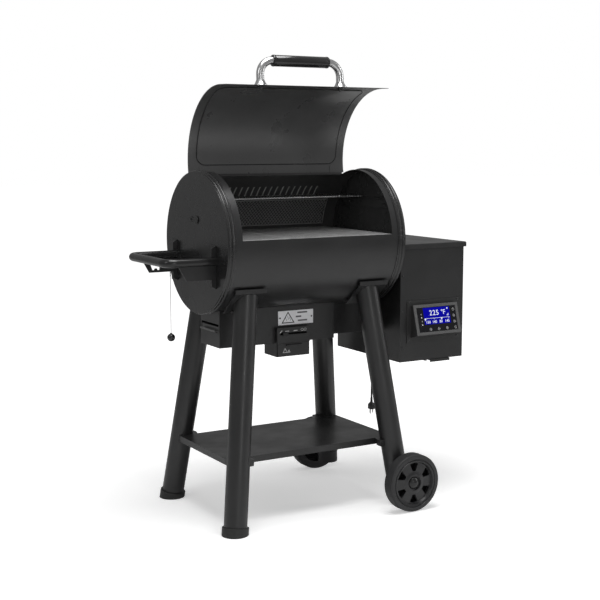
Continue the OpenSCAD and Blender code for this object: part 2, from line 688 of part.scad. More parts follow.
// A straight upper frame with a flange, a funnel under it and a square chute for emptying
module hopper_bin() color(steel) place() {
    difference() {
        union() {
            span([bin_x1 - bin_sheet, bin_y1 - bin_sheet, bin_bend_z + run_gap],
                [bin_x2 + bin_sheet, bin_y2 + bin_sheet, hopper_top - 4]);
            span([hopper_x + hopper_wall, -hopper_front + hopper_wall, hopper_top - 4 - bin_sheet],
                [hopper_x2 - hopper_wall, hopper_back - hopper_wall, hopper_top - 4]);
        }
        span([bin_x1, bin_y1, bin_bend_z - eps], [bin_x2, bin_y2, hopper_top]);
    }
    difference() {
        bin_funnel(bin_sheet);
        translate([0, 0, 0.01]) bin_funnel(0);
        span([bin_x1, bin_y1, bin_bend_z - 1], [bin_x2, bin_y2, bin_bend_z + eps]);
        span([bin_out_x - bin_out_w / 2, -bin_out_y, bin_out_z - eps],
            [bin_out_x + bin_out_w / 2, bin_out_y, bin_out_z + 3]);
        dump_shaft(bin_sheet, hopper_z, bin_bend_z);
    }
    difference() {
        dump_shaft(0, hopper_z + hopper_wall, bin_bend_z - 1);
        dump_shaft(bin_sheet, hopper_z, bin_bend_z);
        bin_funnel(bin_sheet + run_gap);
    }
}

module hopper_guard() color(steel) place() {
    guard_z = hopper_top - 14;
    for (i = [1:8]) xcyl(2, bin_x1, bin_x2, bin_y1 + (bin_y2 - bin_y1) * i / 9, guard_z, $fn = 16);
    for (i = [1:5]) ycyl(2, bin_y1, bin_y2, bin_x1 + (bin_x2 - bin_x1) * i / 6, guard_z + 4, $fn = 16);
}

module hopper_lid() color(black) place() {
    lid_x1 = hopper_x - hopper_lid_over;
    lid_x2 = hopper_x2 + hopper_lid_over;
    front = hopper_front + hopper_lid_over + 2;
    back = hopper_back + 1;
    difference() {
        union() {
            span([lid_x1, -front, hopper_lid_top - hopper_lid_skirt], [lid_x2, back, hopper_lid_top - 3]);
            span([lid_x1 + 3, -front + 3, hopper_lid_top - 3], [lid_x2 - 3, back, hopper_lid_top]);
            ycyl(3, -front + 3, back, lid_x1 + 3, hopper_lid_top - 3);
            ycyl(3, -front + 3, back, lid_x2 - 3, hopper_lid_top - 3);
            xcyl(3, lid_x1 + 3, lid_x2 - 3, -front + 3, hopper_lid_top - 3);
        }
        span([lid_x1 + 2, -front + 2, hopper_lid_top - hopper_lid_skirt - eps],
            [lid_x2 - 2, back + eps, hopper_lid_top - 2.5]);
    }
    for (x = [lid_x1 + 12, lid_x2 - 28], y = [-front + 20, back - 40])
        span([x, y, hopper_top], [x + 16, y + 16, hopper_lid_top - 2.5]);
    for (x = [hopper_x + 50, hopper_x2 - 50]) difference() {
        union() {
            xcyl(5.2, x - 8.5, x + 8.5, hopper_hinge_y, hopper_hinge_z);
            span([x - 8.5, back - 20, hopper_hinge_z + 3.2],
                [x + 8.5, hopper_hinge_y, hopper_hinge_z + 5.2]);
            span([x - 8.5, back - 20, hopper_hinge_z + 3.2], [x + 8.5, back, hopper_lid_top - 1]);
        }
        xcyl(hinge_pin_r + run_gap, x - 10, x + 10, hopper_hinge_y, hopper_hinge_z);
    }
}

module dump_gate() color(black) place() {
    gate_z = hopper_z - slide_gap - gate_t;
    span([chute_x - gate_w / 2 + slide_gap, -hopper_front - 2, gate_z],
        [chute_x + gate_w / 2 - slide_gap, chute_y + 34, gate_z + gate_t]);
    span([chute_x - gate_w / 2 + slide_gap, -hopper_front - 4, gate_z - 6],
        [chute_x + gate_w / 2 - slide_gap, -hopper_front - 2, gate_z + gate_t]);
}

// Controller ---------------------------------------------------------------------------

// Puts its children on the bezel's face: X to the right, Y up the slope, Z outwards
module on_bezel() translate([bezel_x, bezel_face_y, bezel_top_z]) rotate([90 - bezel_lean, 0, 0])
    translate([0, -bezel_h / 2, 0]) children();

module controller_housing() color(dark) place() difference() {
    union() {
        span([bezel_x - 114, -hopper_front - 2.5, bezel_top_z - 137],
            [bezel_x + 117, -hopper_front, bezel_top_z + 15]);
        intersection() {
            on_bezel() span([-bezel_w / 2, -bezel_h / 2, -70], [bezel_w / 2, bezel_h / 2, 0]);
            span([bezel_x - bezel_w, -hopper_front - 90, hopper_z],
                [bezel_x + bezel_w, -hopper_front, hopper_top]);
        }
        span([bezel_x - 78, -hopper_front, bezel_top_z - 90],
            [bezel_x + 78, -hopper_front + 26, bezel_top_z - 14]);
    }
    on_bezel() span([-glass_w / 2, -glass_h / 2, -glass_t + glass_proud], [glass_w / 2, glass_h / 2, eps]);
    for (spot = button_spots) on_bezel() translate([spot[0], spot[1], -button_h])
        cylinder(r = button_r + button_gap, h = button_h);
    span([bezel_x - 74, -hopper_front - eps, bezel_top_z - 86],
        [bezel_x + 74, -hopper_front + 27, bezel_top_z - 18]);
    intersection() {
        on_bezel() span([-bezel_w / 2 + 3, -bezel_h / 2 + 3, -70], [bezel_w / 2 - 3, bezel_h / 2 - 3, -11]);
        span([bezel_x - bezel_w, -hopper_front - 90, hopper_z],
            [bezel_x + bezel_w, -hopper_front - 2.5, hopper_top]);
    }
}

module display_glass() color([0.03, 0.03, 0.04]) place() on_bezel() difference() {
    span([-glass_w / 2, -glass_h / 2, -glass_t + glass_proud], [glass_w / 2, glass_h / 2, glass_proud]);
    for (spot = button_spots) translate([spot[0], spot[1], -glass_t])
        cylinder(r = button_r + button_gap, h = 3 * glass_t);
}

module button(i) color([0.2, 0.2, 0.2]) place() on_bezel()
    translate([button_spots[i][0], button_spots[i][1], -button_h + button_travel + 0.5])
        cylinder(r = button_r, h = button_h - button_travel - 0.5 + glass_proud + 1);

module button_1() button(0);
module button_2() button(1);
module button_3() button(2);
module button_4() button(3);
module button_5() button(4);
module button_6() button(5);
module button_7() button(6);

// Lid ----------------------------------------------------------------------------------

module lid_shell() color(black) place() opened() {
    along_x(-lid_x, lid_x) sector(lid_in, lid_out, lid_front_angle, lid_rear_angle);
    facing(lid_front_angle) span([-lid_x, -lid_lip, lid_in + 0.2], [lid_x, 1, lid_out - 0.2]);
    for (s = [-1, 1]) difference() {
        union() {
            along_x(s * hinge_x - leaf_w / 2, s * hinge_x + leaf_w / 2)
                sector(lid_in - leaf_t, lid_in, lid_rear_angle - 6, hinge_angle - 0.5);
            xcyl(knuckle_r, s * hinge_x - leaf_w / 2, s * hinge_x + leaf_w / 2, hinge_y, hinge_z);
        }
        xcyl(hinge_pin_r + run_gap, s * hinge_x - 12, s * hinge_x + 12, hinge_y, hinge_z);
    }
}

module lid_liner() color(black) place() opened() {
    chamfer = 18;
    over = 20;
    liner_x = lid_x - liner_margin;
    a1 = lid_front_angle + 12;
    a2 = lid_rear_angle - liner_margin * 180 / PI / lid_in;
    difference() {
        along_x(-liner_x, liner_x) sector(lid_in - liner_sheet, lid_in, a1, a2);
        for (s = [-1, 1], end = [[a1, -1], [a2, 1]]) facing(end[0])
            translate([0, 0, lid_in - over / 2]) linear_extrude(over)
                polygon([[s * (liner_x - chamfer - over), end[1] * over],
                    [s * (liner_x + over), -end[1] * (chamfer + over)],
                    [s * (liner_x + over), end[1] * over]]);
    }
}

module quarter_bend(r, bend) rotate_extrude(angle = 90) translate([bend, 0]) circle(r);

module lid_handle_solid(r, over) {
    reach = handle_rise - handle_bend;
    for (s = [0, 1]) mirror([s, 0, 0]) {
        zcyl(r, -over, reach, handle_span / 2);
        translate([handle_span / 2 - handle_bend, 0, reach]) rotate([90, 0, 0])
            quarter_bend(r, handle_bend);
    }
    xcyl(r, -handle_span / 2 + handle_bend, handle_span / 2 - handle_bend, 0, handle_rise);
}

module at_handle() place() opened() facing(handle_angle) translate([0, 0, lid_out]) children();

module lid_handle_tube() color([0.8, 0.8, 0.8]) at_handle() difference() {
    union() {
        lid_handle_solid(handle_d / 2, 0);
        for (s = [-1, 1]) translate([s * handle_span / 2, 0, 0]) rotate_extrude()
            polygon([[0, -2], [23, -2], [23, 2], [19, 6], [16, 12], [handle_d / 2, 20], [0, 20]]);
    }
    lid_handle_solid(handle_d / 2 - tube_wall, 20);
    translate([0, 0, -lid_out]) xcyl(lid_out, -handle_span, handle_span, $fn = fine);
}

module lid_handle_grip() color([0.06, 0.06, 0.06]) at_handle() difference() {
    grip_x = handle_span / 2 - handle_bend - 0.5;
    xcyl(grip_d / 2, -grip_x, grip_x, 0, handle_rise);
    xcyl(handle_d / 2, -grip_x - eps, grip_x + eps, 0, handle_rise);
}

module hinge_brackets() color(dark) place() for (s = [-1, 1]) {
    difference() {
        union() {
            for (e = [-24, 9.5]) {
                xcyl(knuckle_r, s * hinge_x + e, s * hinge_x + e + 14.5, hinge_y, hinge_z);
                along_x(s * hinge_x + e, s * hinge_x + e + 14.5) difference() {
                    polygon([around(barrel_r, hinge_angle - 0.6), around(hinge_r - 0.5, hinge_angle - 0.6),
                        around(hinge_r - 0.5, hinge_angle), around(barrel_r + 2, hinge_angle + 2.5),
                        around(barrel_r, hinge_angle + 2.5)]);
                    translate([0, barrel_z]) circle(barrel_r, $fn = fine);
                }
            }
            along_x(s * hinge_x - hinge_w / 2, s * hinge_x + hinge_w / 2)
                sector(barrel_r, barrel_r + leaf_t, hinge_angle + 1.6, hinge_angle + 9);
        }
        xcyl(hinge_pin_r, s * hinge_x - 30, s * hinge_x + 30, hinge_y, hinge_z);
    }
    xcyl(hinge_pin_r, s * hinge_x - 26, s * hinge_x + 26, hinge_y, hinge_z);
}

// Side handle --------------------------------------------------------------------------

module side_handle_solid(r, over) {
    for (s = [0, 1]) mirror([0, s, 0]) {
        xcyl(r, -side_x + side_bend, -end_x + over, side_y, side_z);
        translate([-side_x + side_bend, side_y - side_bend, side_z]) rotate([0, 0, 90])
            quarter_bend(r, side_bend);
    }
    ycyl(r, -side_y + side_bend, side_y - side_bend, -side_x, side_z);
}

module side_handle() color(dark) place() difference() {
    side_handle_solid(side_d / 2, 0);
    side_handle_solid(side_d / 2 - tube_wall, 10);
}

module side_brackets() color(black) place() for (y = [-side_y, side_y]) difference() {
    union() {
        span([-end_x - bracket_t, y, bracket_lo], [-end_x, y + bracket_w, bracket_hi]);
        translate([0, y + bracket_t, 0]) rotate([90, 0, 0]) linear_extrude(bracket_t)
            polygon([[-end_x, bracket_lo], [-end_x, bracket_hi], [-end_x - 16, bracket_hi - 8],
                [-end_x - 16, side_z - 8], [-end_x - web_reach, side_z - 8],
                [-end_x - web_reach + 30, web_lo], [-end_x - 16, web_lo], [-end_x - 16, bracket_lo + 8]]);
    }
    xcyl(side_d / 2, -side_x + side_bend, -end_x, y, side_z);
    if (y > 0) translate([0, y + bracket_t + eps, 0]) rotate([90, 0, 0]) linear_extrude(bracket_t + 2 * eps)
        polygon([[-end_x - 101, side_z - 33], [-end_x - 94, side_z - 52], [-end_x - 88, side_z - 52],
            [-end_x - 85, side_z - 46], [-end_x - 78, side_z - 46], [-end_x - 75, side_z - 52],
            [-end_x - 68, side_z - 52], [-end_x - 66, side_z - 33]]);
}

// Legs, shelf and wheels ---------------------------------------------------------------

// A leg's axis as a cylinder of radius r between two heights, square to the axis at its ends
module leg_bar(sx, sy, r, z1, z2) {
    p = leg_at(sx, sy, z1);
    run = tan(leg_lean);
    lean = atan(sqrt(2) * run);
    translate(p) rotate(a = lean, v = [sy * run, -sx * run, 0])
        cylinder(r = r, h = (z2 - z1) / cos(lean), $fn = 64);
}

// Everything above the underside of the saddle plates on side sy
module above_saddle(sy) mirror([0, sy > 0 ? 1 : 0, 0]) facing(-saddle_angle)
    span([-2 * end_x, -400, -300], [2 * end_x, 400, saddle_under]);

module legs() color(black) place() for (sx = [-1, 1], sy = [-1, 1]) difference() {
    leg_bar(sx, sy, leg_r, -20, 900);
    leg_bar(sx, sy, leg_r - leg_wall, -40, 920);
    above_saddle(sy);
    span([-2 * end_x, -600, -100], [2 * end_x, 600, sx < 0 ? foot_floor : wheel_leg_z]);
    if (sx > 0) ycyl(axle_r + touch_gap, sy > 0 ? 0 : -foot_y - 60, sy > 0 ? foot_y + 60 : 0,
        axle_x, wheel_r);
}

module foot_caps() color(dark) place() for (sy = [-1, 1]) {
    difference() {
        leg_bar(-1, sy, foot_cap_d / 2, -20, foot_cap_h);
        intersection() {
            leg_bar(-1, sy, leg_r, -20, 60);
            span([-600, -600, foot_floor], [600, 600, 80]);
        }
        span([-600, -600, -60], [600, 600, 0]);
    }
    difference() {
        leg_bar(1, sy, leg_r - leg_wall, wheel_leg_z - 20, wheel_leg_z + 26);
        span([-600, -600, 0], [600, 600, wheel_leg_z - 3]);
        span([-600, -600, wheel_leg_z + 12], [600, 600, 120]);
    }
}

module saddle_brackets() color(black) place() for (sx = [-1, 1], sy = [0, 1]) mirror([0, sy, 0])
    translate([sx * saddle_top_x, 0, 0]) {
        facing(-saddle_angle) span([-saddle_len / 2, -saddle_down, saddle_under - saddle_plate],
            [saddle_len / 2, saddle_up, saddle_under]);
        difference() {
            facing(-saddle_angle) span([-saddle_len / 2 + 2, -50, barrel_r - 20],
                [saddle_len / 2 - 2, 42, saddle_under - 1]);
            xcyl(barrel_r, -saddle_len, saddle_len, z = barrel_z, $fn = fine);
            facing(-saddle_angle) span([-saddle_len / 2 + 5, -60, barrel_r - 30],
                [saddle_len / 2 - 5, 60, saddle_under - saddle_plate + 0.5]);
        }
        span([-saddle_len / 2 - 1, saddle_end[0] - 1, saddle_end[1] - 4],
            [saddle_len / 2 + 1, saddle_end[0] + saddle_plate - 1, saddle_end[1] + saddle_lip]);
    }

module lower_shelf() color(black) place() difference() {
    union() {
        difference() {
            span([-shelf_len / 2, -shelf_w / 2, shelf_z - shelf_fold],
                [shelf_len / 2, shelf_w / 2, shelf_z]);
            span([-shelf_len / 2 + shelf_sheet, -shelf_w / 2 + shelf_sheet,
                shelf_z - shelf_fold - eps],
                [shelf_len / 2 - shelf_sheet, shelf_w / 2 - shelf_sheet, shelf_z - shelf_sheet]);
        }
        for (sx = [-1, 1], sy = [-1, 1]) intersection() {
            leg_bar(sx, sy, leg_r + shelf_ear, shelf_z - 60, shelf_z + 40);
            span([-foot_x + shelf_z * tan(leg_lean) - 12, -foot_y + shelf_z * tan(leg_lean) - 12,
                shelf_z - shelf_fold], [foot_x - shelf_z * tan(leg_lean) + 12,
                foot_y - shelf_z * tan(leg_lean) + 12, shelf_z]);
        }
    }
    for (sx = [-1, 1], sy = [-1, 1]) leg_bar(sx, sy, leg_r, shelf_z - 80, shelf_z + 60);
}

// A wheel with its outer face at Z = wheel_w
module wheel() difference() {
    rotate_extrude($fn = 120) polygon(concat(
        [[axle_r + run_gap, 4], [20, 4], [20, 16], [66, 16], [70, 10], [74, 0], [wheel_r - 8, 0]],
        [for (a = [-90:15:0]) [wheel_r - 6 + 6 * cos(a), 6 + 6 * sin(a)]],
        [for (a = [0:15:90]) [wheel_r - 6 + 6 * cos(a), wheel_w - 6 + 6 * sin(a)]],
        [[86, wheel_w], [84, wheel_w - 3], [82, wheel_w - 3], [80, wheel_w], [76, wheel_w - 1],
         [72, wheel_w - 9], [40, wheel_w - 7], [30, wheel_w - 4], [26, wheel_w - 4], [26, wheel_w - 9],
         [axle_r + run_gap, wheel_w - 9]]));
    for (i = [0:spokes - 1]) rotate([0, 0, 360 / spokes * (i + 0.5)]) translate([0, 0, wheel_web])
        linear_extrude(wheel_w) polygon([[42, -6], [68, -17], [71, 0], [68, 17], [42, 6]]);
}

module front_wheel() color(dark) place()
    translate([axle_x, -wheel_in_y, wheel_r]) rotate([90, 0, 0]) wheel();
module rear_wheel() color(dark) place()
    translate([axle_x, wheel_in_y, wheel_r]) rotate([-90, 0, 0]) wheel();

module axle_bolts() color(dark) place() for (s = [0, 1]) mirror([0, s, 0]) {
    difference() {
        union() {
            ycyl(axle_r, -wheel_out_y + 4, -axle_leg_y + leg_r + 16, axle_x, wheel_r);
            ycyl(13, -wheel_in_y - 3.5, -axle_leg_y, axle_x, wheel_r);
            ycyl(11, -axle_leg_y, -axle_leg_y + leg_r + 12, axle_x, wheel_r);
        }
        intersection() {
            leg_bar(1, -1, leg_r, wheel_r - 50, wheel_r + 50);
            difference() {
                ycyl(20, -axle_leg_y - 60, -axle_leg_y + 60, axle_x, wheel_r);
                ycyl(axle_r, -axle_leg_y - 61, -axle_leg_y + 61, axle_x, wheel_r);
            }
        }
    }
    difference() {
        translate([axle_x, -wheel_out_y + 21, wheel_r]) sphere(25, $fn = 64);
        span([0, -wheel_out_y + 8.7, 0], [2 * foot_x, 0, 2 * wheel_r]);
    }
}

// Small parts --------------------------------------------------------------------------

module port_cover() color(dark) place() difference() {
    union() {
        xcyl(14, -end_x - 3.5, -end_x - 0.5, port_y, port_z);
        xcyl(9, -end_x - 3.5, -end_x - 0.5, port_pivot_y, port_z);
        span([-end_x - 3.5, port_y, port_z - 7], [-end_x - 0.5, port_pivot_y, port_z + 7]);
    }
    xcyl(3 + run_gap, -end_x - 5, -end_x + eps, port_pivot_y, port_z);
}

// A tube of radius r swept through the points, with its rings square to the route
module swept(points, r, sides) {
    n = len(points);
    dirs = [for (i = [0:n - 1]) let (d = points[min(i + 1, n - 1)] - points[max(i - 1, 0)]) d / norm(d)];
    rings = [for (i = [0:n - 1], k = [0:sides - 1]) let (
        side = cross(dirs[i], [0, 1, 0]) / norm(cross(dirs[i], [0, 1, 0])),
        up = cross(side, dirs[i]), a = 360 * k / sides)
        points[i] + r * (cos(a) * side + sin(a) * up)];
    polyhedron(rings, concat([[for (k = [0:sides - 1]) k]],
        [for (i = [0:n - 2], k = [0:sides - 1]) let (j = (k + 1) % sides)
            [i * sides + j, i * sides + k, (i + 1) * sides + k, (i + 1) * sides + j]],
        [[for (k = [sides - 1:-1:0]) (n - 1) * sides + k]]));
}

module tether_cable() color(steel) place() swept(tether_route, tether_d / 2, 8);

module tether_ball() color(dark) place()
    translate([tether_x, tether_y, min(tether_zs) - ball_neck - ball_d / 2]) {
        sphere(ball_d / 2);
        zcyl(4, 0, ball_d / 2 + ball_neck);
    }

module power_lead() color(rubber) place() {
    swept(lead_route, lead_d / 2, 10);
    swept(tail_route, lead_d / 2, 10);
}

// The outer shape of the coiled lead, hung on its hook
module lead_coil() color(rubber) place()
    translate([lead_x + coil_r, coil_y1 - lead_d / 2, coil_z]) rotate([-90, 0, 0])
        rotate_extrude() translate([coil_r - lead_d / 2, 0])
            square([lead_d, coil_y2 - coil_y1 + lead_d]);

module power_plug() color(rubber) place() translate([lead_x, coil_y2, plug_z]) {
    zcyl(5.5, -20, 0);
    span([-11, -13, -46], [11, 13, -20]);
    for (x = [-blade_x, blade_x]) span([x - 0.75, -3.2, -63], [x + 0.75, 3.2, -46]);
    zcyl(2.4, -68, -46, 0, 7);
}

// A pan-head screw standing on the plane Z = 0
module screw_head(r) {
    cylinder(r = r, h = 1.2);
    translate([0, 0, 1.2]) cylinder(r = 0.7 * r, h = 0.8);
}

module screws() color(dark) place() {
    for (x = [-106, 108], z = [-124, 10]) translate([bezel_x + x, -hopper_front - 2.5, bezel_top_z + z])
        rotate([90, 0, 0]) screw_head(3.5);
    for (z = [51, 180, 308]) translate([hopper_x + 10, -hopper_front, hopper_z + z])
        rotate([90, 0, 0]) screw_head(3.5);
    for (s = [-1, 1]) translate([63 * s, -base_y - 1.5, base_z + 85.5])
        rotate([90, 0, 0]) screw_head(3);
    for (y = [-side_y, side_y], z = [bracket_lo + 14, bracket_hi - 14])
        translate([-end_x - bracket_t, y + 30, z]) rotate([0, -90, 0]) screw_head(5);
    xcyl(3, -end_x - 5, -end_x, port_pivot_y, port_z);
    translate([-end_x - 5, port_pivot_y, port_z]) rotate([0, -90, 0]) screw_head(5);
    for (sx = [-1, 1], sy = [0, 1]) mirror([0, sy, 0]) translate([sx * saddle_top_x, 0, 0])
        facing(-saddle_angle) zcyl(6, saddle_under, saddle_under + 5, sx * 28, -saddle_down + 11);
}

// The lead's outlet with its strain relief, and the hook that the coiled lead hangs on
module cord_fittings() color(dark) place() {
    exit_z = lead_route[0][2];
    sleeve_h = 31;
    block = 13;
    hook_x = lead_x + coil_r;
    hook_z = coil_z + sqrt(pow(coil_r - lead_d / 2, 2) - pow(hook_w / 2, 2)) - 0.2;
    hook_y = coil_y2 + lead_d / 2 + 3;
    span([lead_x - block, hopper_back, exit_z + sleeve_h - 1],
        [lead_x + block, coil_y1 + 11, exit_z + sleeve_h + 27]);
    translate([lead_x, coil_y1, exit_z]) cylinder(r1 = 5, r2 = 8, h = sleeve_h);
    span([hook_x - hook_w / 2, hopper_back, hook_z - hook_t],
        [hook_x + hook_w / 2, hook_y + hook_t, hook_z]);
    span([hook_x - hook_w / 2, hook_y, hook_z - hook_t],
        [hook_x + hook_w / 2, hook_y + hook_t, hook_z + 14]);
    span([hook_x - hook_w / 2, hopper_back, hook_z - 30],
        [hook_x + hook_w / 2, hopper_back + hook_t, hook_z]);
}

barrel_shell();
left_end_cap();
right_end_cap();
exhaust_hood();
rear_baffle();
support_rails();
warming_rack();
cooking_grates();
drip_pan();
heat_deflector();
fire_pot();
igniter_rod();
auger_tube();
auger_screw();
auger_motor();
blower_housing();
blower_impeller();
base_housing();
feed_duct();
info_plate();
cleanout_housing();
cleanout_lever();
ash_drawer();
grease_tray();
hopper_shell();
hopper_bin();
hopper_lid();
hopper_guard();
dump_gate();
controller_housing();
display_glass();
button_1();
button_2();
button_3();
button_4();
button_5();
button_6();
button_7();
lid_shell();
lid_liner();
lid_handle_tube();
lid_handle_grip();
hinge_brackets();
side_handle();
side_brackets();
legs();
saddle_brackets();
foot_caps();
front_wheel();
rear_wheel();
axle_bolts();
lower_shelf();
port_cover();
tether_cable();
tether_ball();
power_lead();
lead_coil();
power_plug();
cord_fittings();
screws();
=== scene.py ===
"""Looks of a pellet smoker grill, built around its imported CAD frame.  Everything is in metres."""

import json
import random
from math import cos, hypot, pi, radians, sin, sqrt

import bmesh
import bpy
from mathutils import Matrix, Vector


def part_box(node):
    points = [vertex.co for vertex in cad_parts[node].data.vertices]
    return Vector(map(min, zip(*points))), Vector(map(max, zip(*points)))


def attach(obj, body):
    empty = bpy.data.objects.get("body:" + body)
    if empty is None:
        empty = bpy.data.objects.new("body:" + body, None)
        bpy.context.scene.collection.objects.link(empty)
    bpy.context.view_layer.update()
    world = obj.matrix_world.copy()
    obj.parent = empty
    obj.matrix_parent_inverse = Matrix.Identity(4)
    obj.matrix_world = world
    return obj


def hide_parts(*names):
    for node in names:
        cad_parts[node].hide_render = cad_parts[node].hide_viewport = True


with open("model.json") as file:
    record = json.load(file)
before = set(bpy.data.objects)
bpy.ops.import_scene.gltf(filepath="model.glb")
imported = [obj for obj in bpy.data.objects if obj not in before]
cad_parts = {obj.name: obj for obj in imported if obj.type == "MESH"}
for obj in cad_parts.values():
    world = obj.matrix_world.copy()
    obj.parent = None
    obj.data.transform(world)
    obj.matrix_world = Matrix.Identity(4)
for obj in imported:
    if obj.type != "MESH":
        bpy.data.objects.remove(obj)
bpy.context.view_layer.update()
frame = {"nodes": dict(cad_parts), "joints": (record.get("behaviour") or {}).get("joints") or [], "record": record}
nodes = frame["nodes"]

MM = 0.001

# Places, all from the frame -----------------------------------------------------------

shell_low, shell_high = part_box("barrel_shell")
BARREL_X = (shell_low.x + shell_high.x) / 2
BARREL_R = (shell_high.y - shell_low.y) / 2
BARREL_WALL = 2 * MM
BARREL_Z = (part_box("left_end_cap")[0].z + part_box("left_end_cap")[1].z) / 2
END_X = BARREL_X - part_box("left_end_cap")[0].x
lid_joint = next(j for j in frame["joints"] if j["name"] == "lid_hinge")
HINGE = Vector(lid_joint["pos_m"])
LID_OPEN = radians(76)
LID_IN = BARREL_R + 8.5 * MM
LID_REAR = radians(115.2)
LID_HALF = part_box("lid_shell")[1].x - BARREL_X
glass_low, glass_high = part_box("display_glass")
BEZEL_LEAN = radians(16)
GLASS_NORMAL = Vector((0, -cos(BEZEL_LEAN), sin(BEZEL_LEAN)))
BUTTONS = ["button_%d" % i for i in range(1, 8)]


def mm_point(x, y, z):
    """A point given in millimetres from the barrel's middle, as the cords' routes are."""
    return Vector((BARREL_X + x * MM, y * MM, z * MM))


def around(radius, angle, x=0.0):
    """A point at an angle about the barrel's axis, counted from the front over the top."""
    return Vector((BARREL_X + x, -radius * cos(angle), BARREL_Z + radius * sin(angle)))


def opened(point):
    """Where a point of the closed lid lies with the lid at its open rest position."""
    turn = Matrix.Rotation(-LID_OPEN, 4, "X")
    return HINGE + turn @ (Vector(point) - HINGE)


def placed(origin, outward, up):
    """A matrix whose Z points outward and whose Y points as nearly up as it can."""
    z = Vector(outward).normalized()
    x = Vector(up).cross(z).normalized()
    y = z.cross(x)
    return Matrix.Translation(origin) @ Matrix((x, y, z)).transposed().to_4x4()


# Camera -------------------------------------------------------------------------------

CAMERA_PLACE = (-2.1184, -3.6295, 1.2781)
CAMERA_TARGET = (0.00415, -0.0053, 0.7229)
LENS = 71.79


def linked(name, data):
    """A new object of that data, in the scene."""
    obj = bpy.data.objects.new(name, data)
    bpy.context.scene.collection.objects.link(obj)
    return obj


def aim(obj, location, target):
    """Stands an object at the location, looking at the target."""
    obj.location = location
    obj.rotation_euler = (Vector(target) - obj.location).to_track_quat("-Z", "Y").to_euler()


def make_camera():
    data = bpy.data.cameras.new("camera")
    data.sensor_width = 36
    data.lens = LENS
    camera = linked("camera", data)
    aim(camera, CAMERA_PLACE, CAMERA_TARGET)
    bpy.context.scene.camera = camera


# Materials ----------------------------------------------------------------------------


class Nodes:
    """A short way to write a material's node tree."""

    def __init__(self, name):
        self.material = bpy.data.materials.new(name)
        self.material.use_nodes = True
        self.tree = self.material.node_tree
        self.shader = self.tree.nodes["Principled BSDF"]
        self.place = self.add("ShaderNodeTexCoord").outputs["Object"]

    def add(self, kind, inputs=(), **values):
        """A new node, with its settings and the values of its inputs."""
        node = self.tree.nodes.new(kind)
        for key, value in values.items():
            setattr(node, key, value)
        for key, value in dict(inputs).items():
            node.inputs[key].default_value = value
        return node

    def link(self, source, socket):
        self.tree.links.new(source, socket)

    def feed(self, value, socket):
        """Links a node's output to the socket, or sets a plain value on it."""
        if hasattr(value, "is_linked"):
            self.link(value, socket)
        else:
            socket.default_value = value

    def set(self, **values):
        for key, value in values.items():
            self.shader.inputs[key.replace("_", " ")].default_value = value

    def colour(self, source):
        self.link(source, self.shader.inputs["Base Color"])

    def rough(self, source):
        self.link(source, self.shader.inputs["Roughness"])

    def stretched(self, scale):
        mapping = self.add("ShaderNodeMapping", {"Scale": scale})
        self.link(self.place, mapping.inputs["Vector"])
        return mapping.outputs["Vector"]

    def noise(self, scale, detail=3.0, roughness=0.55, vector=None):
        inputs = {"Scale": scale, "Detail": detail, "Roughness": roughness}
        noise = self.add("ShaderNodeTexNoise", inputs)
        self.link(vector or self.place, noise.inputs["Vector"])
        return noise.outputs["Fac"]

    def cells(self, scale):
        cells = self.add("ShaderNodeTexVoronoi", {"Scale": scale})
        self.link(self.place, cells.inputs["Vector"])
        return cells.outputs["Distance"]

    def ramp(self, source, low, high, from_low=0.3, from_high=0.7):
        inputs = {"From Min": from_low, "From Max": from_high, "To Min": low, "To Max": high}
        spread = self.add("ShaderNodeMapRange", inputs)
        self.link(source, spread.inputs["Value"])
        return spread.outputs["Result"]

    def mix(self, factor, first, second):
        mixed = self.add("ShaderNodeMix", data_type="RGBA")
        self.link(factor, mixed.inputs["Factor"])
        for value, socket in ((first, mixed.inputs["A"]), (second, mixed.inputs["B"])):
            self.feed((*value, 1) if isinstance(value, tuple) else value, socket)
        return mixed.outputs["Result"]

    def math(self, operation, *values):
        node = self.add("ShaderNodeMath", operation=operation)
        for value, socket in zip(values, node.inputs):
            self.feed(value, socket)
        return node.outputs["Value"]

    def vector_math(self, operation, *values):
        node = self.add("ShaderNodeVectorMath", operation=operation)
        for value, socket in zip(values, node.inputs):
            self.feed(value, socket)
        return node.outputs

    def edges(self, radius):
        """Near 1 on convex and concave edges, 0 on open faces."""
        bevel = self.add("ShaderNodeBevel", {"Radius": radius}, samples=4)
        normal = self.add("ShaderNodeNewGeometry").outputs["Normal"]
        dot = self.vector_math("DOT_PRODUCT", bevel.outputs["Normal"], normal)
        return self.ramp(dot["Value"], 1.0, 0.0, 0.78, 0.99)

    def dot(self, direction, origin):
        """How far a point lies from the origin along the direction."""
        offset = self.vector_math("SUBTRACT", self.place, origin)["Vector"]
        return self.vector_math("DOT_PRODUCT", offset, direction)["Value"]

    def reach(self, origin, axis):
        """A point's distance from the line through the origin along X or Y."""
        offset = self.vector_math("SUBTRACT", self.place, origin)["Vector"]
        across = (0, 1, 1) if axis == "X" else (1, 0, 1)
        flat = self.vector_math("MULTIPLY", offset, across)["Vector"]
        return self.vector_math("LENGTH", flat)["Value"]

    def bump(self, heights, round_edges=0.0):
        """Stacks height fields: (source, strength, distance)."""
        normal = None
        if round_edges:
            bevel = self.add("ShaderNodeBevel", {"Radius": round_edges}, samples=4)
            normal = bevel.outputs["Normal"]
        for source, strength, distance in heights:
            bump = self.add("ShaderNodeBump", {"Strength": strength, "Distance": distance})
            self.link(source, bump.inputs["Height"])
            if normal is not None:
                self.link(normal, bump.inputs["Normal"])
            normal = bump.outputs["Normal"]
        self.link(normal, self.shader.inputs["Normal"])


BLACK_COAT = (0.0135, 0.0135, 0.0138)
INNER_GREY = (0.05, 0.05, 0.05)
LID_GREY = (0.06, 0.06, 0.06)
# The hood's pale inner grey is painted light, standing in for light seen through the exhaust slots.
HOOD_PAINTED_LIGHT_GREY = (0.5, 0.5, 0.49)


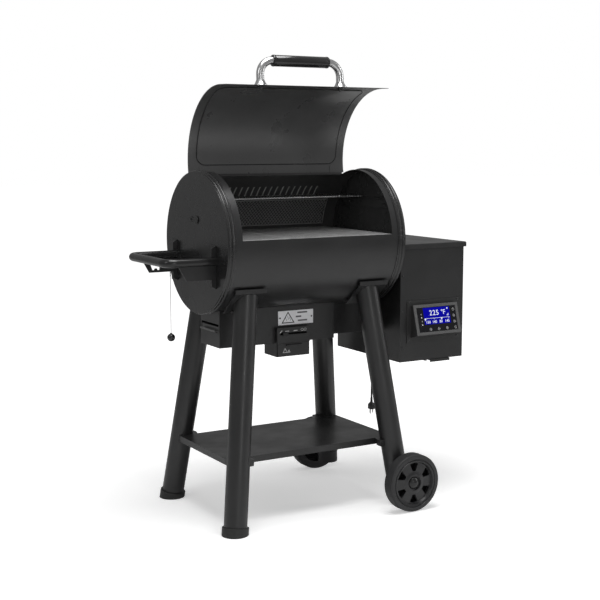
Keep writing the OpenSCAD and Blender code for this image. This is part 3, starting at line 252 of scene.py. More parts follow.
def shade(colour, factor):
    return tuple(min(1.0, c * factor) for c in colour)


def coated(name, colour, rough, peel=0.1, mottle=0.16, edge_wear_and_highlight=0.3, specular=0.5,
           rounding=0.0008, inside=None, inner=INNER_GREY):
    """Powder coat or paint on sheet steel: orange peel, a fine speckle, soft patches, and lighter edges that are
    partly wear and partly painted highlight.

    inside gives where the sheet's inner face lies, which is a little lighter.
    """
    n = Nodes(name)
    mask = inside(n) if inside else None
    patches = n.noise(5.0, 4.0)
    speckle = n.noise(900.0, 2.0, 0.7)
    base = n.mix(n.ramp(patches, 0, 1), shade(colour, 1 - mottle), shade(colour, 1 + mottle))
    base = n.mix(n.ramp(speckle, 0, 0.5, 0.56, 0.8), base, shade(colour, 2.2))
    # Lighter edges and inner corners: partly edge wear, partly painted highlight along the edges.
    base = n.mix(n.ramp(n.edges(1.5 * MM), 0, edge_wear_and_highlight, 0, 1), base, shade(colour, 2.6))
    if mask is not None:
        lighter = n.mix(n.ramp(patches, 0, 1), shade(inner, 1 - mottle), shade(inner, 1 + mottle))
        base = n.mix(mask, base, lighter)
    n.colour(base)
    n.rough(n.ramp(n.noise(11.0, 5.0), rough - 0.05, rough + 0.07))
    n.set(Specular_IOR_Level=specular)
    n.bump([(n.noise(420.0, 1.5, 0.5), peel, 0.25 * MM), (n.noise(14.0, 2.0), 0.05, 0.6 * MM)], rounding)
    return n.material


def barrel_coat(name, rough):
    """Powder coat outside, heat-dulled grey inside the barrel."""
    def inside(n):
        middle = (BARREL_X, 0, BARREL_Z)
        near = n.math("LESS_THAN", n.reach(middle, "X"), BARREL_R - 1 * MM)
        along = n.math("ABSOLUTE", n.dot((1, 0, 0), middle), 0)
        return n.math("MULTIPLY", near, n.math("LESS_THAN", along, END_X - 1 * MM))
    return coated(name, BLACK_COAT, rough, peel=0.1, specular=0.6, inside=inside)


def lid_coat():
    """Powder coat outside, grey on the face that looks into the barrel."""
    def inside(n):
        from_axis = n.reach(opened((BARREL_X, 0, BARREL_Z)), "X")
        return n.math("LESS_THAN", from_axis, LID_IN + 0.6 * MM)
    return coated("lid_coat", BLACK_COAT, 0.3, peel=0.08, specular=0.9, inside=inside,
                  inner=LID_GREY)


def hood_coat():
    """Powder coat outside; the smoke cowl's inner side is painted pale grey, painted light standing in for light
    seen through the exhaust slots.
    """
    def inside(n):
        return n.math("LESS_THAN", n.reach((BARREL_X, 0, BARREL_Z), "X"), BARREL_R + 43 * MM)
    return coated("hood_coat", BLACK_COAT, 0.36, peel=0.12, inside=inside, inner=HOOD_PAINTED_LIGHT_GREY)


def wheel_plastic():
    n = Nodes("wheel_plastic")
    colour = (0.019, 0.019, 0.02)
    low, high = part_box("front_wheel")
    centre = (low + high) / 2
    tread_r = (high.z - low.z) / 2
    length = n.reach((centre.x, 0, centre.z), "Y")
    n.rough(n.ramp(length, 0.3, 0.58, tread_r - 12 * MM, tread_r - 1 * MM))
    off_centre = n.math("ABSOLUTE", n.dot((0, 1, 0), (0, 0, 0)), 0)
    depth = n.math("SUBTRACT", abs(low.y), off_centre)
    in_rim = n.math("LESS_THAN", length, 73 * MM)
    # Painted shade: the window floors deep in the wheel are darkened to near black and their specular lowered, for
    # shade in the recesses.
    recess_painted_shade = n.math("MULTIPLY", n.math("GREATER_THAN", depth, 22 * MM), in_rim)
    faded = n.mix(n.ramp(n.noise(30.0, 4.0), 0, 1), shade(colour, 0.8), shade(colour, 1.3))
    n.colour(n.mix(recess_painted_shade, faded, shade(colour, 0.12)))
    sheen = n.math("SUBTRACT", 0.5, n.math("MULTIPLY", recess_painted_shade, 0.42))
    n.link(sheen, n.shader.inputs["Specular IOR Level"])
    n.bump([(n.noise(700.0, 2.0), 0.12, 0.2 * MM), (n.noise(60.0, 3.0), 0.06, 0.4 * MM)], 1.2 * MM)
    return n.material


def cast_iron(name, colour, rough, grain=0.35):
    """Porcelain-coated or bare castings: sandy bump and uneven sheen."""
    n = Nodes(name)
    patch = n.ramp(n.noise(26.0, 5.0, 0.65), 0, 1)
    n.colour(n.mix(patch, shade(colour, 0.72), shade(colour, 1.3)))
    n.rough(n.ramp(n.noise(60.0, 3.0), rough - 0.08, rough + 0.12))
    n.bump([(n.noise(520.0, 4.0, 0.7), grain, 0.5 * MM)], 1.0 * MM)
    return n.material


def brushed(name, colour, rough, along, lines=900.0, metallic=1.0, scratch=0.25):
    """Bare, plated or galvanised metal with fine lines along one axis."""
    n = Nodes(name)
    n.set(Metallic=metallic)
    scale = tuple(6.0 if axis == along else lines for axis in "XYZ")
    fine = n.noise(1.0, 4.0, 0.6, n.stretched(scale))
    patch = n.noise(9.0, 4.0)
    n.colour(n.mix(n.ramp(patch, 0, 1), shade(colour, 0.85), shade(colour, 1.1)))
    n.rough(n.ramp(fine, rough - 0.06, rough + 0.10))
    n.bump([(fine, scratch, 0.08 * MM)], 0.5 * MM)
    return n.material


def galvanised():
    n = Nodes("galvanised_steel")
    n.set(Metallic=1.0)
    spangle = n.cells(55.0)
    n.colour(n.mix(n.ramp(spangle, 0, 1, 0.1, 0.7), (0.36, 0.37, 0.38), (0.56, 0.57, 0.58)))
    n.rough(n.ramp(n.noise(70.0, 3.0), 0.38, 0.58))
    n.bump([(spangle, 0.06, 0.3 * MM)], 0.6 * MM)
    return n.material


def chrome():
    n = Nodes("handle_chrome")
    n.set(Metallic=1.0)
    haze = n.noise(40.0, 4.0)
    n.colour(n.mix(n.ramp(haze, 0, 1), (0.6, 0.6, 0.61), (0.72, 0.72, 0.72)))
    n.rough(n.ramp(n.noise(160.0, 5.0, 0.7), 0.16, 0.3))
    n.bump([(n.noise(300.0, 2.0), 0.03, 0.2 * MM)], 0.6 * MM)
    return n.material


def plastic(name, colour, rough, grain_scale=700.0, grain=0.2, mottle=0.2, coat=0.0, specular=0.5):
    """Moulded plastic or rubber with a fine spark-eroded grain."""
    n = Nodes(name)
    patch = n.ramp(n.noise(40.0, 4.0), 0, 1)
    n.colour(n.mix(patch, shade(colour, 1 - mottle), shade(colour, 1 + mottle)))
    n.rough(n.ramp(n.noise(25.0, 4.0), rough - 0.05, rough + 0.08))
    n.set(Coat_Weight=coat, Coat_Roughness=0.06, Specular_IOR_Level=specular)
    n.bump([(n.noise(grain_scale, 2.5, 0.65), grain, 0.3 * MM)], 0.8 * MM)
    return n.material


def bezel_plastic():
    """Grained plastic, lighter grey on the raised ring around the glass."""
    n = Nodes("textured_plastic")
    raised = n.math("GREATER_THAN", n.dot(GLASS_NORMAL, (glass_low + glass_high) / 2), -1.5 * MM)
    grain = n.ramp(n.noise(480.0, 2.5, 0.7), 0, 1)
    face = n.mix(grain, (0.012, 0.012, 0.012), (0.026, 0.026, 0.026))
    n.colour(n.mix(raised, face, n.mix(grain, (0.05, 0.05, 0.05), (0.13, 0.13, 0.13))))
    n.rough(n.ramp(n.noise(25.0, 4.0), 0.45, 0.6))
    n.bump([(grain, 0.4, 0.3 * MM)], 1.0 * MM)
    return n.material


def glass_black():
    n = Nodes("display_glass")
    n.colour(n.mix(n.ramp(n.noise(60.0, 3.0), 0, 1), (0.003, 0.003, 0.004), (0.006, 0.006, 0.008)))
    n.rough(n.ramp(n.noise(90.0, 5.0), 0.06, 0.13))
    n.set(Specular_IOR_Level=0.4)
    n.bump([(n.noise(30.0, 2.0), 0.01, 0.2 * MM)], 0.3 * MM)
    return n.material


def glowing(name, colour, strength, darker=0.75):
    """A lit display colour with the uneven glow of its backlight."""
    n = Nodes(name)
    glow = n.ramp(n.noise(45.0, 2.0), 0, 1)
    shown = n.mix(glow, shade(colour, darker), colour)
    n.link(shown, n.shader.inputs["Emission Color"])
    n.colour(n.mix(glow, shade(colour, 0.02), shade(colour, 0.06)))
    n.set(Emission_Strength=strength, Roughness=0.5, Specular_IOR_Level=0.05)
    return n.material


def printed(name, colour, rough=0.5):
    """Screen-printed ink, a little uneven."""
    n = Nodes(name)
    n.colour(n.mix(n.ramp(n.noise(400.0, 3.0), 0, 1), shade(colour, 0.82), colour))
    n.rough(n.ramp(n.noise(200.0, 2.0), rough - 0.06, rough + 0.1))
    return n.material


def make_materials():
    """Every material by its name: the ones tied to a place, then the plain recipes."""
    made = {
        "galvanised_steel": galvanised(), "textured_plastic": bezel_plastic(),
        "display_glass": glass_black(), "handle_chrome": chrome(), "wheel_plastic": wheel_plastic(),
        "lid_coat": lid_coat(), "hood_coat": hood_coat(),
    }
    recipes = (
        (coated, "black_powder_coat", BLACK_COAT, 0.36, 0.14, 0.16, 0.3, 0.6),
        (coated, "interior_enamel", INNER_GREY, 0.34, 0.08, 0.2, 0.2),
        (coated, "tray_aluminium", (0.1, 0.1, 0.1), 0.38, 0.1, 0.2),
        (coated, "black_gloss_coat", (0.011, 0.011, 0.0112), 0.25, 0.06, 0.16, 0.4),
        (coated, "screw_black", (0.02, 0.02, 0.021), 0.3, 0.05, 0.2, 0.8, 0.6, 0.0004),
        (coated, "lid_enamel", LID_GREY, 0.3, 0.08, 0.14, 0.2, 0.9),
        (coated, "baffle_wire", (0.2, 0.2, 0.2), 0.36, 0.06),
        (barrel_coat, "barrel_coat", 0.34),
        (barrel_coat, "cap_coat", 0.26),
        (brushed, "rack_wire", (0.62, 0.62, 0.62), 0.24, "X", 500.0),
        (brushed, "bare_steel", (0.52, 0.52, 0.52), 0.32, "X"),
        (brushed, "plate_aluminium", (0.8, 0.8, 0.82), 0.42, "X", 1500.0, 0.3, 0.3),
        (brushed, "cable_steel", (0.66, 0.66, 0.66), 0.3, "Z", 900.0),
        # The grates' grey is lifted above dark iron: partly the iron's own colour, partly painted reflection of
        # light from above.
        (cast_iron, "grate_iron", (0.27, 0.27, 0.27), 0.4, 0.3),
        (cast_iron, "pot_iron", (0.06, 0.058, 0.056), 0.6, 0.5),
        (plastic, "moulded_plastic", (0.018, 0.018, 0.018), 0.5),
        (plastic, "grip_gloss", (0.008, 0.008, 0.008), 0.16, 260.0, 0.03, 0.2, 0.6),
        (plastic, "cord_rubber", (0.014, 0.014, 0.014), 0.45, 900.0, 0.18),
        (plastic, "button_silicone", (0.03, 0.03, 0.033), 0.42, 900.0, 0.15),
        (glowing, "lcd_blue", (0.0, 0.0, 0.46), 0.75),
        (glowing, "lcd_white", (0.86, 0.9, 1.0), 1.0, 0.9),
        (printed, "ink_white", (0.62, 0.62, 0.62)),
        (printed, "ink_grey", (0.12, 0.12, 0.125)),
        (printed, "ink_black", (0.02, 0.02, 0.02)),
    )
    for make, name, *values in recipes:
        made[name] = make(name, *values)
    return made


# Mesh helpers -------------------------------------------------------------------------


def in_mm(points):
    return [(x * MM, y * MM) for x, y in points]


def angles(steps):
    """Evenly spaced angles around a circle."""
    return [2 * pi * k / steps for k in range(steps)]


def bridge(bm, first, second):
    """Faces between two rings with as many corners."""
    count = len(first)
    for k in range(count):
        j = (k + 1) % count
        bm.faces.new((first[k], first[j], second[j], second[k]))


def finish_piece(name, bm, material, body="grill", slot=None, sharp=35.0):
    """Makes an object of a bmesh, gives it its finish and lets it ride on its body.

    The slot argument is not used.
    """
    slot = slot or material
    bmesh.ops.recalc_face_normals(bm, faces=bm.faces)
    mesh = bpy.data.meshes.new(name)
    bm.to_mesh(mesh)
    bm.free()
    mesh.shade_smooth()
    mesh.set_sharp_from_angle(angle=radians(sharp))
    mesh.materials.append(materials[material])
    obj = linked(name, mesh)
    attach(obj, body)
    return obj


def tube(bm, points, radius, sides=10, closed=False):
    """A round tube through the points, with capped ends unless it is closed."""
    points = [Vector(p) for p in points]
    count = len(points)
    rings = []
    side = None
    for i, point in enumerate(points):
        before = points[i - 1] if (i or closed) else point
        after = points[(i + 1) % count] if (i < count - 1 or closed) else point
        along = (after - before).normalized()
        if side is None:
            side = along.orthogonal().normalized()
        side = (side - along * side.dot(along)).normalized()
        up = along.cross(side)
        rings.append([bm.verts.new(point + radius * (cos(a) * side + sin(a) * up))
                      for a in angles(sides)])
    spans = range(count if closed else count - 1)
    for i in spans:
        bridge(bm, rings[i], rings[(i + 1) % count])
    if not closed:
        bm.faces.new(rings[0][::-1])
        bm.faces.new(rings[-1])


def lathe(bm, profile, steps=32, place=Matrix.Identity(4)):
    """Turns (radius, height) pairs in millimetres about Z; a radius of 0 closes the form."""
    rings = []
    for radius, height in in_mm(profile):
        if radius == 0:
            rings.append([bm.verts.new(place @ Vector((0, 0, height)))])
        else:
            rings.append([bm.verts.new(place @ Vector((radius * cos(a), radius * sin(a), height)))
                          for a in angles(steps)])
    for first, second in zip(rings, rings[1:]):
        for k in range(steps):
            j = (k + 1) % steps
            corners = [first[k % len(first)], first[j % len(first)],
                       second[j % len(second)], second[k % len(second)]]
            corners = list(dict.fromkeys(corners))
            if len(corners) > 2:
                bm.faces.new(corners)


def slab(bm, outline, low, high, place, bevel=0.0):
    """A plate with that outline between two heights, its top edge bevelled, in millimetres."""
    bottom, top = [[bm.verts.new(place @ Vector((x, y, level * MM))) for x, y in in_mm(outline)]
                   for level in (low, high)]
    bm.faces.new(bottom[::-1])
    face = bm.faces.new(top)
    bridge(bm, bottom, top)
    if bevel:
        bmesh.ops.bevel(bm, geom=list(face.edges), offset=bevel * MM, segments=2, profile=0.6,
                        affect="EDGES")


def box_outline(x1, y1, x2, y2, radius=0.0, steps=4):
    """A rectangle with rounded corners."""
    if not radius:
        return [(x1, y1), (x2, y1), (x2, y2), (x1, y2)]
    points = []
    corners = [(x2 - radius, y1 + radius, -90), (x2 - radius, y2 - radius, 0),
               (x1 + radius, y2 - radius, 90), (x1 + radius, y1 + radius, 180)]
    for cx, cy, start in corners:
        for k in range(steps + 1):
            a = radians(start + 90 * k / steps)
            points.append((cx + radius * cos(a), cy + radius * sin(a)))
    return points


def disc_outline(radius, cx=0.0, cy=0.0):
    return [(cx + radius * cos(a), cy + radius * sin(a)) for a in angles(20)]


def stroke(bm, points, width, low, high, place, closed=False):
    """A flat drawn line of that width through 2-D points, in millimetres."""
    points = [Vector(p) for p in in_mm(points)]
    width, low, high = width * MM, low * MM, high * MM
    count = len(points)
    left, right = [], []
    for i, point in enumerate(points):
        before = points[i - 1] if (i or closed) else None
        after = points[(i + 1) % count] if (i < count - 1 or closed) else None
        first = (point - before).normalized() if before is not None else None
        second = (after - point).normalized() if after is not None else None
        along = (first or second) if not (first and second) else (first + second).normalized()
        across = Vector((-along.y, along.x))
        stretch = 1.0
        if first and second:
            stretch = 1 / max(0.4, across.dot(Vector((-first.y, first.x))))
        left.append(point + across * width / 2 * stretch)
        right.append(point - across * width / 2 * stretch)
    verts = [[bm.verts.new(place @ Vector((p.x, p.y, h))) for p in line]
             for line, h in ((left, low), (right, low), (left, high), (right, high))]
    for i in range(count if closed else count - 1):
        j = (i + 1) % count
        for a, b in ((2, 3), (3, 1), (1, 0), (0, 2)):
            bm.faces.new((verts[a][i], verts[b][i], verts[b][j], verts[a][j]))
    if not closed:
        bm.faces.new([verts[k][0] for k in (0, 1, 3, 2)])
        bm.faces.new([verts[k][-1] for k in (2, 3, 1, 0)])


# Cords --------------------------------------------------------------------------------

LEAD_D = 7 * MM
LEAD_X = 553
LEAD_ZS = range(740, 691, -8)
TAIL_ZS = [*range(660, 299, -15), 282, 265]
COIL_Y1, COIL_Y2, COIL_Z, COIL_R = 232, 276, 676, 35.5
COIL_TURNS = 6
TETHER_D = 2 * MM
TETHER_X, TETHER_Y = -372, 151
TETHER_ZS = [833, *range(820, 639, -15), 628, 618]


def curve_of(name, points, diameter, material):
    """A smooth curve of one open spline through the points."""
    data = bpy.data.curves.new(name, "CURVE")
    data.dimensions = "3D"
    data.bevel_depth = diameter / 2
    data.bevel_resolution = 4
    data.use_fill_caps = True
    spline = data.splines.new("POLY")
    spline.points.add(len(points) - 1)
    for target, point in zip(spline.points, points):
        target.co = (*point, 1)
    data.materials.append(materials[material])
    return linked(name, data)


def smoothed(points, per_span):
    """A Catmull-Rom line through the points."""
    points = [Vector(p) for p in points]
    padded = [2 * points[0] - points[1]] + points + [2 * points[-1] - points[-2]]
    line = []
    for a, b, c, d in zip(padded, padded[1:], padded[2:], padded[3:]):
        for k in range(per_span):
            t = k / per_span
            line.append(0.5 * (2 * b + (c - a) * t + (2 * a - 5 * b + 4 * c - d) * t * t
                               + (3 * b - a - 3 * c + d) * t ** 3))
    return line + [points[-1]]


def coil_points():
    """Six turns around the hook, side by side, from the lead's end to the tail's start."""
    points = []
    steps = 24 * COIL_TURNS
    for k in range(1, steps):
        a = 2 * pi * k / 24
        share = k / steps
        wander = 0.35 * sin(5.1 * a * 0.37)
        points.append(mm_point(LEAD_X + COIL_R - (COIL_R + wander * 0.4) * cos(a),
                               COIL_Y1 + (COIL_Y2 - COIL_Y1) * share + wander * 0.5,
                               COIL_Z - (COIL_R + wander * 0.4) * sin(a)))
    return points


def make_power_lead():
    start = [mm_point(LEAD_X, COIL_Y1, z) for z in LEAD_ZS]
    end = [mm_point(LEAD_X, COIL_Y2, z) for z in TAIL_ZS]
    line = smoothed(start + coil_points() + end, 3)
    lead = curve_of("power_lead_curve", line, LEAD_D, "cord_rubber")
    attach(lead, "grill")
    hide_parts("power_lead", "lead_coil")
    return lead, line


def make_coil_tie():
    """A twisted wire tie around the turns, at the coil's low right."""
    low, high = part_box("lead_coil")
    centre = mm_point(LEAD_X + COIL_R, 0, COIL_Z)
    lean = radians(-50)
    wide, clear = LEAD_D / 2 + 1.4 * MM, 0.9 * MM
    outline = box_outline(-wide, low.y - clear, wide, high.y + clear, 4 * MM, 5)
    bm = bmesh.new()
    for turn in (-1, 1):
        loop = []
        for across, y in outline:
            radius = COIL_R * MM + across
            side = turn * 1.4 * MM
            loop.append(Vector((centre.x + radius * cos(lean) - side * sin(lean), y,
                                centre.z + radius * sin(lean) + side * cos(lean))))
        tube(bm, loop, 1.2 * MM, 8, True)
    return finish_piece("coil_tie", bm, "moulded_plastic")


def make_plug():
    """A moulded mains plug with two flat blades and a round earth pin."""
    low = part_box("power_plug")[0]
    place = Matrix.Translation(mm_point(LEAD_X, COIL_Y2, 0) + Vector((0, 0, low.z + 22 * MM)))
    bm = bmesh.new()
    rings = []
    levels = ((0, 10.4, 12.4), (1.2, 11, 13), (16, 11, 13), (21, 9.2, 10.6), (26, 6.4, 6.8))
    for z, half_x, half_y in levels:
        outline = box_outline(-half_x, -half_y, half_x, half_y, 4.4, 4)
        rings.append([bm.verts.new(place @ Vector((u, v, z * MM))) for u, v in in_mm(outline)])
    for first, second in zip(rings, rings[1:]):
        bridge(bm, first, second)
    bm.faces.new(rings[0][::-1])
    bm.faces.new(rings[-1])
    profile = [(0, 25)]
    for k in range(5):
        z, rib, groove = 27 + 4 * k, 5.4 - k * 0.25, 4.4 - k * 0.15
        profile += [(rib, z), (rib, z + 2.4), (groove, z + 2.8), (groove, z + 3.6)]
    profile.append((0, 45.8))
    lathe(bm, profile, 20, place)
    plug = finish_piece("mains_plug", bm, "cord_rubber")
    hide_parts("power_plug")
    bm = bmesh.new()
    for x in (-6.35, 6.35):
        slab(bm, box_outline(x - 0.75, -3.1, x + 0.75, 3.1), -17, 1, place)
    lathe(bm, [(0, -22), (1.2, -22), (2.4, -20), (2.4, 1), (0, 1)], 16,
          place @ Matrix.Translation((0, 7 * MM, 0)))
    pins = finish_piece("plug_pins", bm, "bare_steel")
    return plug, pins


def make_outlet():
    """The lead's outlet on the hopper's back: an elbow with a ribbed sleeve, and the cord hook."""
    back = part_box("cord_fittings")[0].y
    exit_z = LEAD_ZS[0]
    bm = bmesh.new()
    place = placed(mm_point(LEAD_X, 0, exit_z + 44) + Vector((0, back, 0)), (0, 1, 0), (0, 0, 1))
    slab(bm, box_outline(-13, -14, 13, 14, 4), 0, 24, place, 2.5)
    lead_r = LEAD_D / 2 / MM
    profile = [(lead_r, 0), (4.9, 0)]
    for k in range(7):
        z, rib = 1.5 + 3.7 * k, 5.0 + 0.42 * k
        profile += [(rib, z), (rib, z + 2.3), (rib - 1.1, z + 2.6), (rib - 1.1, z + 3.4)]
    profile += [(7.9, 28.5), (7.9, 31), (lead_r, 31), (lead_r, 0)]
    lathe(bm, profile, 28, Matrix.Translation(mm_point(LEAD_X, COIL_Y1, exit_z)))
    outlet = finish_piece("lead_outlet", bm, "moulded_plastic", slot="cord_rubber")
    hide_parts("cord_fittings")

    bm = bmesh.new()
    wire_r = 1.5 * MM
    hook_z = COIL_Z + sqrt((COIL_R - 3.5) ** 2 - 7 ** 2) - 0.2
    centre_x = LEAD_X + COIL_R
    wall, tip = back / MM + 1.6, COIL_Y2 + 8
    line = [(wall, hook_z - 30), (wall, hook_z - 4.5), (wall + 1.8, hook_z - 1.6),
            (COIL_Y2 + 5, hook_z - 1.6), (COIL_Y2 + 7.6, hook_z + 0.6), (tip, hook_z + 13)]
    for side in (-5, 5):
        tube(bm, smoothed([mm_point(centre_x + side, y, z) for y, z in line], 4), wire_r, 10)
    for half, y, z in ((5, tip, hook_z + 12.6), (6, wall, hook_z - 26), (6, wall, hook_z - 10)):
        tube(bm, [mm_point(centre_x - half, y, z), mm_point(centre_x + half, y, z)], wire_r, 10)
    finish_piece("cord_hook", bm, "black_gloss_coat")
    return outlet


def make_tether():
    points = smoothed([mm_point(TETHER_X, TETHER_Y, z) for z in TETHER_ZS], 2)
    cable = curve_of("tether_cable_curve", points, TETHER_D, "cable_steel")
    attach(cable, "grill")
    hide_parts("tether_cable")
    low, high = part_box("tether_ball")
    centre = Vector(((low.x + high.x) / 2, (low.y + high.y) / 2, low.z + 14 * MM))
    bm = bmesh.new()
    radius = 13.9
    profile = [(0, -radius)]
    for k in range(1, 22):
        a = radians(-90 + 160 * k / 21)
        profile.append((radius * cos(a), radius * sin(a)))
    profile += [(4.4, 13.3), (3.9, 14.4), (3.7, 15.6), (0, 15.9)]
    lathe(bm, profile, 36, Matrix.Translation(centre))
    ball = finish_piece("tether_knob", bm, "grip_gloss", sharp=50)
    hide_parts("tether_ball")
    bm = bmesh.new()
    top = points[0]
    loop = [top + Vector((0, -3.2 * MM * sin(a), -4 * MM + 4.6 * MM * cos(a)))
            for a in angles(16)]
    tube(bm, loop, 0.8 * MM, 8, True)
    tube(bm, [top + Vector((0, 0, -10 * MM)), top + Vector((0, 0, -17 * MM))], 2.0 * MM, 12)
    ferrule = finish_piece("tether_ferrule", bm, "cable_steel")


def make_cords():
    lead, line = make_power_lead()
    plug, pins = make_plug()
    outlet = make_outlet()
    tie = make_coil_tie()
    make_tether()


# Barrel's inside and the lid ----------------------------------------------------------


def make_baffle_mesh():
    """Crossed diagonal strands over the rear baffle."""
    low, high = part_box("rear_baffle")
    radius = BARREL_R - BARREL_WALL - 8.4 * MM
    first, last = radians(146.4), radians(171.6)
    tall = radius * (last - first)
    half = (high.x - low.x) / 2 - 2 * MM
    pitch = 13 * MM
    bm = bmesh.new()
    count = int(2 * half / pitch)
    for lean in (-1, 1):
        for k in range(-8, count + 8):
            start = -half + (k + 0.5) * pitch
            rail = []
            for step in range(9):
                up = step / 8
                x = start + lean * (up - 0.5) * tall * 0.9
                if abs(x) > half:
                    continue
                lift = 0.5 * MM if lean > 0 else 0.0
                rail.append(around(radius - 0.8 * MM - lift, first + (last - first) * up, x))
            if len(rail) > 1:
                tube(bm, rail, 1.25 * MM, 4)
    frame_r = radius - 1.2 * MM
    corners = [(-half, first), (half, first), (half, last), (-half, last)]
    loop = []
    for (x1, a1), (x2, a2) in zip(corners, corners[1:] + corners[:1]):
        loop += [around(frame_r, a1 + (a2 - a1) * k / 8, x1 + (x2 - x1) * k / 8) for k in range(8)]
    tube(bm, loop, 1.9 * MM, 8, True)
    finish_piece("baffle_mesh", bm, "baffle_wire", "grill", "interior_enamel")


def make_warming_rack():
    """Close cross wires welded to three long wires, their front ends bent over the edge."""
    low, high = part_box("warming_rack")
    long_r, cross_r = 2.4 * MM, 1.5 * MM
    bm = bmesh.new()
    base = low.z + long_r
    for y in (low.y + 4 * MM, (low.y + high.y) / 2, high.y - 4 * MM):
        tube(bm, [(low.x + (high.x - low.x) * k / 6, y, base) for k in range(7)], long_r, 12)
    pitch = 11.6 * MM
    count = int((high.x - low.x - 12 * MM) / pitch)
    start = (low.x + high.x) / 2 - count * pitch / 2
    top = base + long_r + cross_r - 0.4 * MM
    bend = 3.6 * MM
    for k in range(count + 1):
        x = start + k * pitch
        line = [(x, high.y, top), (x, (low.y + high.y) / 2, top), (x, low.y + 2 * bend, top)]
        for step in range(1, 5):
            a = radians(22.5 * step)
            line.append((x, low.y + 2 * bend - bend - bend * sin(a), top - bend + bend * cos(a)))
        line.append((x, low.y + cross_r, top - bend - 2.2 * MM))
        tube(bm, line, cross_r, 8)
    rack = finish_piece("warming_rack_wires", bm, "rack_wire")
    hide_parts("warming_rack")


def make_grates():
    """Three castings of rounded bars, tied by ribs under them."""
    low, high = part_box("cooking_grates")
    gap = 1 * MM
    wide = (high.x - low.x - 2 * gap) / 3
    thick = high.z - low.z
    bm = bmesh.new()

    def bar(x1, y1, x2, y2, top, foot, along_y=True):
        """A bar with a crowned top and sides that draw in downwards."""
        profile = [(0.5, foot), (0.5, foot + 0.25 * (top - foot)), (0.5, top - 1.6 * MM),
                   (0.42, top - 0.5 * MM), (0.26, top), (-0.26, top), (-0.42, top - 0.5 * MM),
                   (-0.5, top - 1.6 * MM), (-0.5, foot + 0.25 * (top - foot)), (-0.5, foot)]
        ends = (y1, y2) if along_y else (x1, x2)
        middle = (x1 + x2) / 2 if along_y else (y1 + y2) / 2
        across = (x2 - x1) if along_y else (y2 - y1)
        rings = []
        for end in ends:
            ring = []
            for share, z in profile:
                side = middle + share * across
                ring.append(bm.verts.new((side, end, z) if along_y else (end, side, z)))
            rings.append(ring)
        bridge(bm, *rings)
        bm.faces.new(rings[0][::-1])
        bm.faces.new(rings[1])

    for piece in range(3):
        x1 = low.x + piece * (wide + gap)
        x2 = x1 + wide
        rim = 9 * MM
        bar(x1, low.y, x1 + rim, high.y, high.z, low.z)
        bar(x2 - rim, low.y, x2, high.y, high.z, low.z)
        bar(x1, low.y, x2, low.y + 10 * MM, high.z, low.z, False)
        bar(x1, high.y - 10 * MM, x2, high.y, high.z, low.z, False)
        bars = 11
        for k in range(bars):
            x = x1 + rim + (k + 0.5) * (wide - 2 * rim) / bars
            bar(x - 3.9 * MM, low.y + 6 * MM, x + 3.9 * MM, high.y - 6 * MM, high.z, high.z - 9 * MM)
        for k in range(1, 6):
            y = low.y + k * (high.y - low.y) / 6
            bar(x1 + 3 * MM, y - 4 * MM, x2 - 3 * MM, y + 4 * MM, high.z - 3.5 * MM,
                high.z - thick, False)
    grates = finish_piece("cast_grates", bm, "grate_iron", sharp=50)
    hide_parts("cooking_grates")


def rounded_half(s, s1, s2, half, radius):
    """Half the width of a rounded rectangle at height s."""
    d = max(0.0, s1 + radius - s, s - (s2 - radius))
    return half - radius + sqrt(max(0.0, radius * radius - d * d))


def make_lid_liner():
    """A pressed inner panel with round corners and a folded hem in black coat, whose dark is a painted shadow line
    along the panel's edge.
    """
    thick = 1.2 * MM
    margin = 32 * MM
    corner = 34 * MM
    half = LID_HALF - margin
    a1 = radians(25)
    a2 = LID_REAR - margin / LID_IN
    near_ends = (0.002, 0.006, 0.014, 0.025)
    shares = {*[k / 28 for k in range(29)], *near_ends, *[1 - v for v in near_ends]}
    rows = [a1 + (a2 - a1) * t for t in sorted(shares)]
    columns = 24
    bm = bmesh.new()
    layers = []
    for depth in (0.15 * MM, 0.15 * MM + thick):
        grid = []
        for a in rows:
            wide = rounded_half(a * LID_IN, a1 * LID_IN, a2 * LID_IN, half, corner)
            grid.append([bm.verts.new(opened(around(LID_IN - depth, a, wide * (2 * c / columns - 1))))
                         for c in range(columns + 1)])
        layers.append(grid)
        for first, second in zip(grid, grid[1:]):
            for c in range(columns):
                bm.faces.new((first[c], first[c + 1], second[c + 1], second[c]))
    outer, inner = layers
    count = len(rows)
    rim = ([(0, c) for c in range(columns)] + [(r, columns) for r in range(count - 1)]
           + [(count - 1, c) for c in range(columns, 0, -1)] + [(r, 0) for r in range(count - 1, 0, -1)])
    for (r1, c1), (r2, c2) in zip(rim, rim[1:] + rim[:1]):
        bm.faces.new((outer[r1][c1], outer[r2][c2], inner[r2][c2], inner[r1][c1]))
    liner = finish_piece("lid_inner_panel", bm, "lid_enamel", "lid", "interior_enamel")
    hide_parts("lid_liner")

    bm = bmesh.new()
    line = box_outline(-half, a1 * LID_IN, half, a2 * LID_IN, corner, 10)
    dense = []
    for (x1, s1), (x2, s2) in zip(line, line[1:] + line[:1]):
        steps = max(1, int(hypot(x2 - x1, s2 - s1) / (14 * MM)))
        dense += [(x1 + (x2 - x1) * k / steps, s1 + (s2 - s1) * k / steps) for k in range(steps)]
    tube(bm, [opened(around(LID_IN - 1.5 * MM, s / LID_IN, x)) for x, s in dense], 1.5 * MM, 8, True)
    # The hem's black coat, darker than the grey panel, is a painted shadow line where the panel meets the lid.
    finish_piece("lid_panel_hem_shadow_line", bm, "black_gloss_coat", "lid")


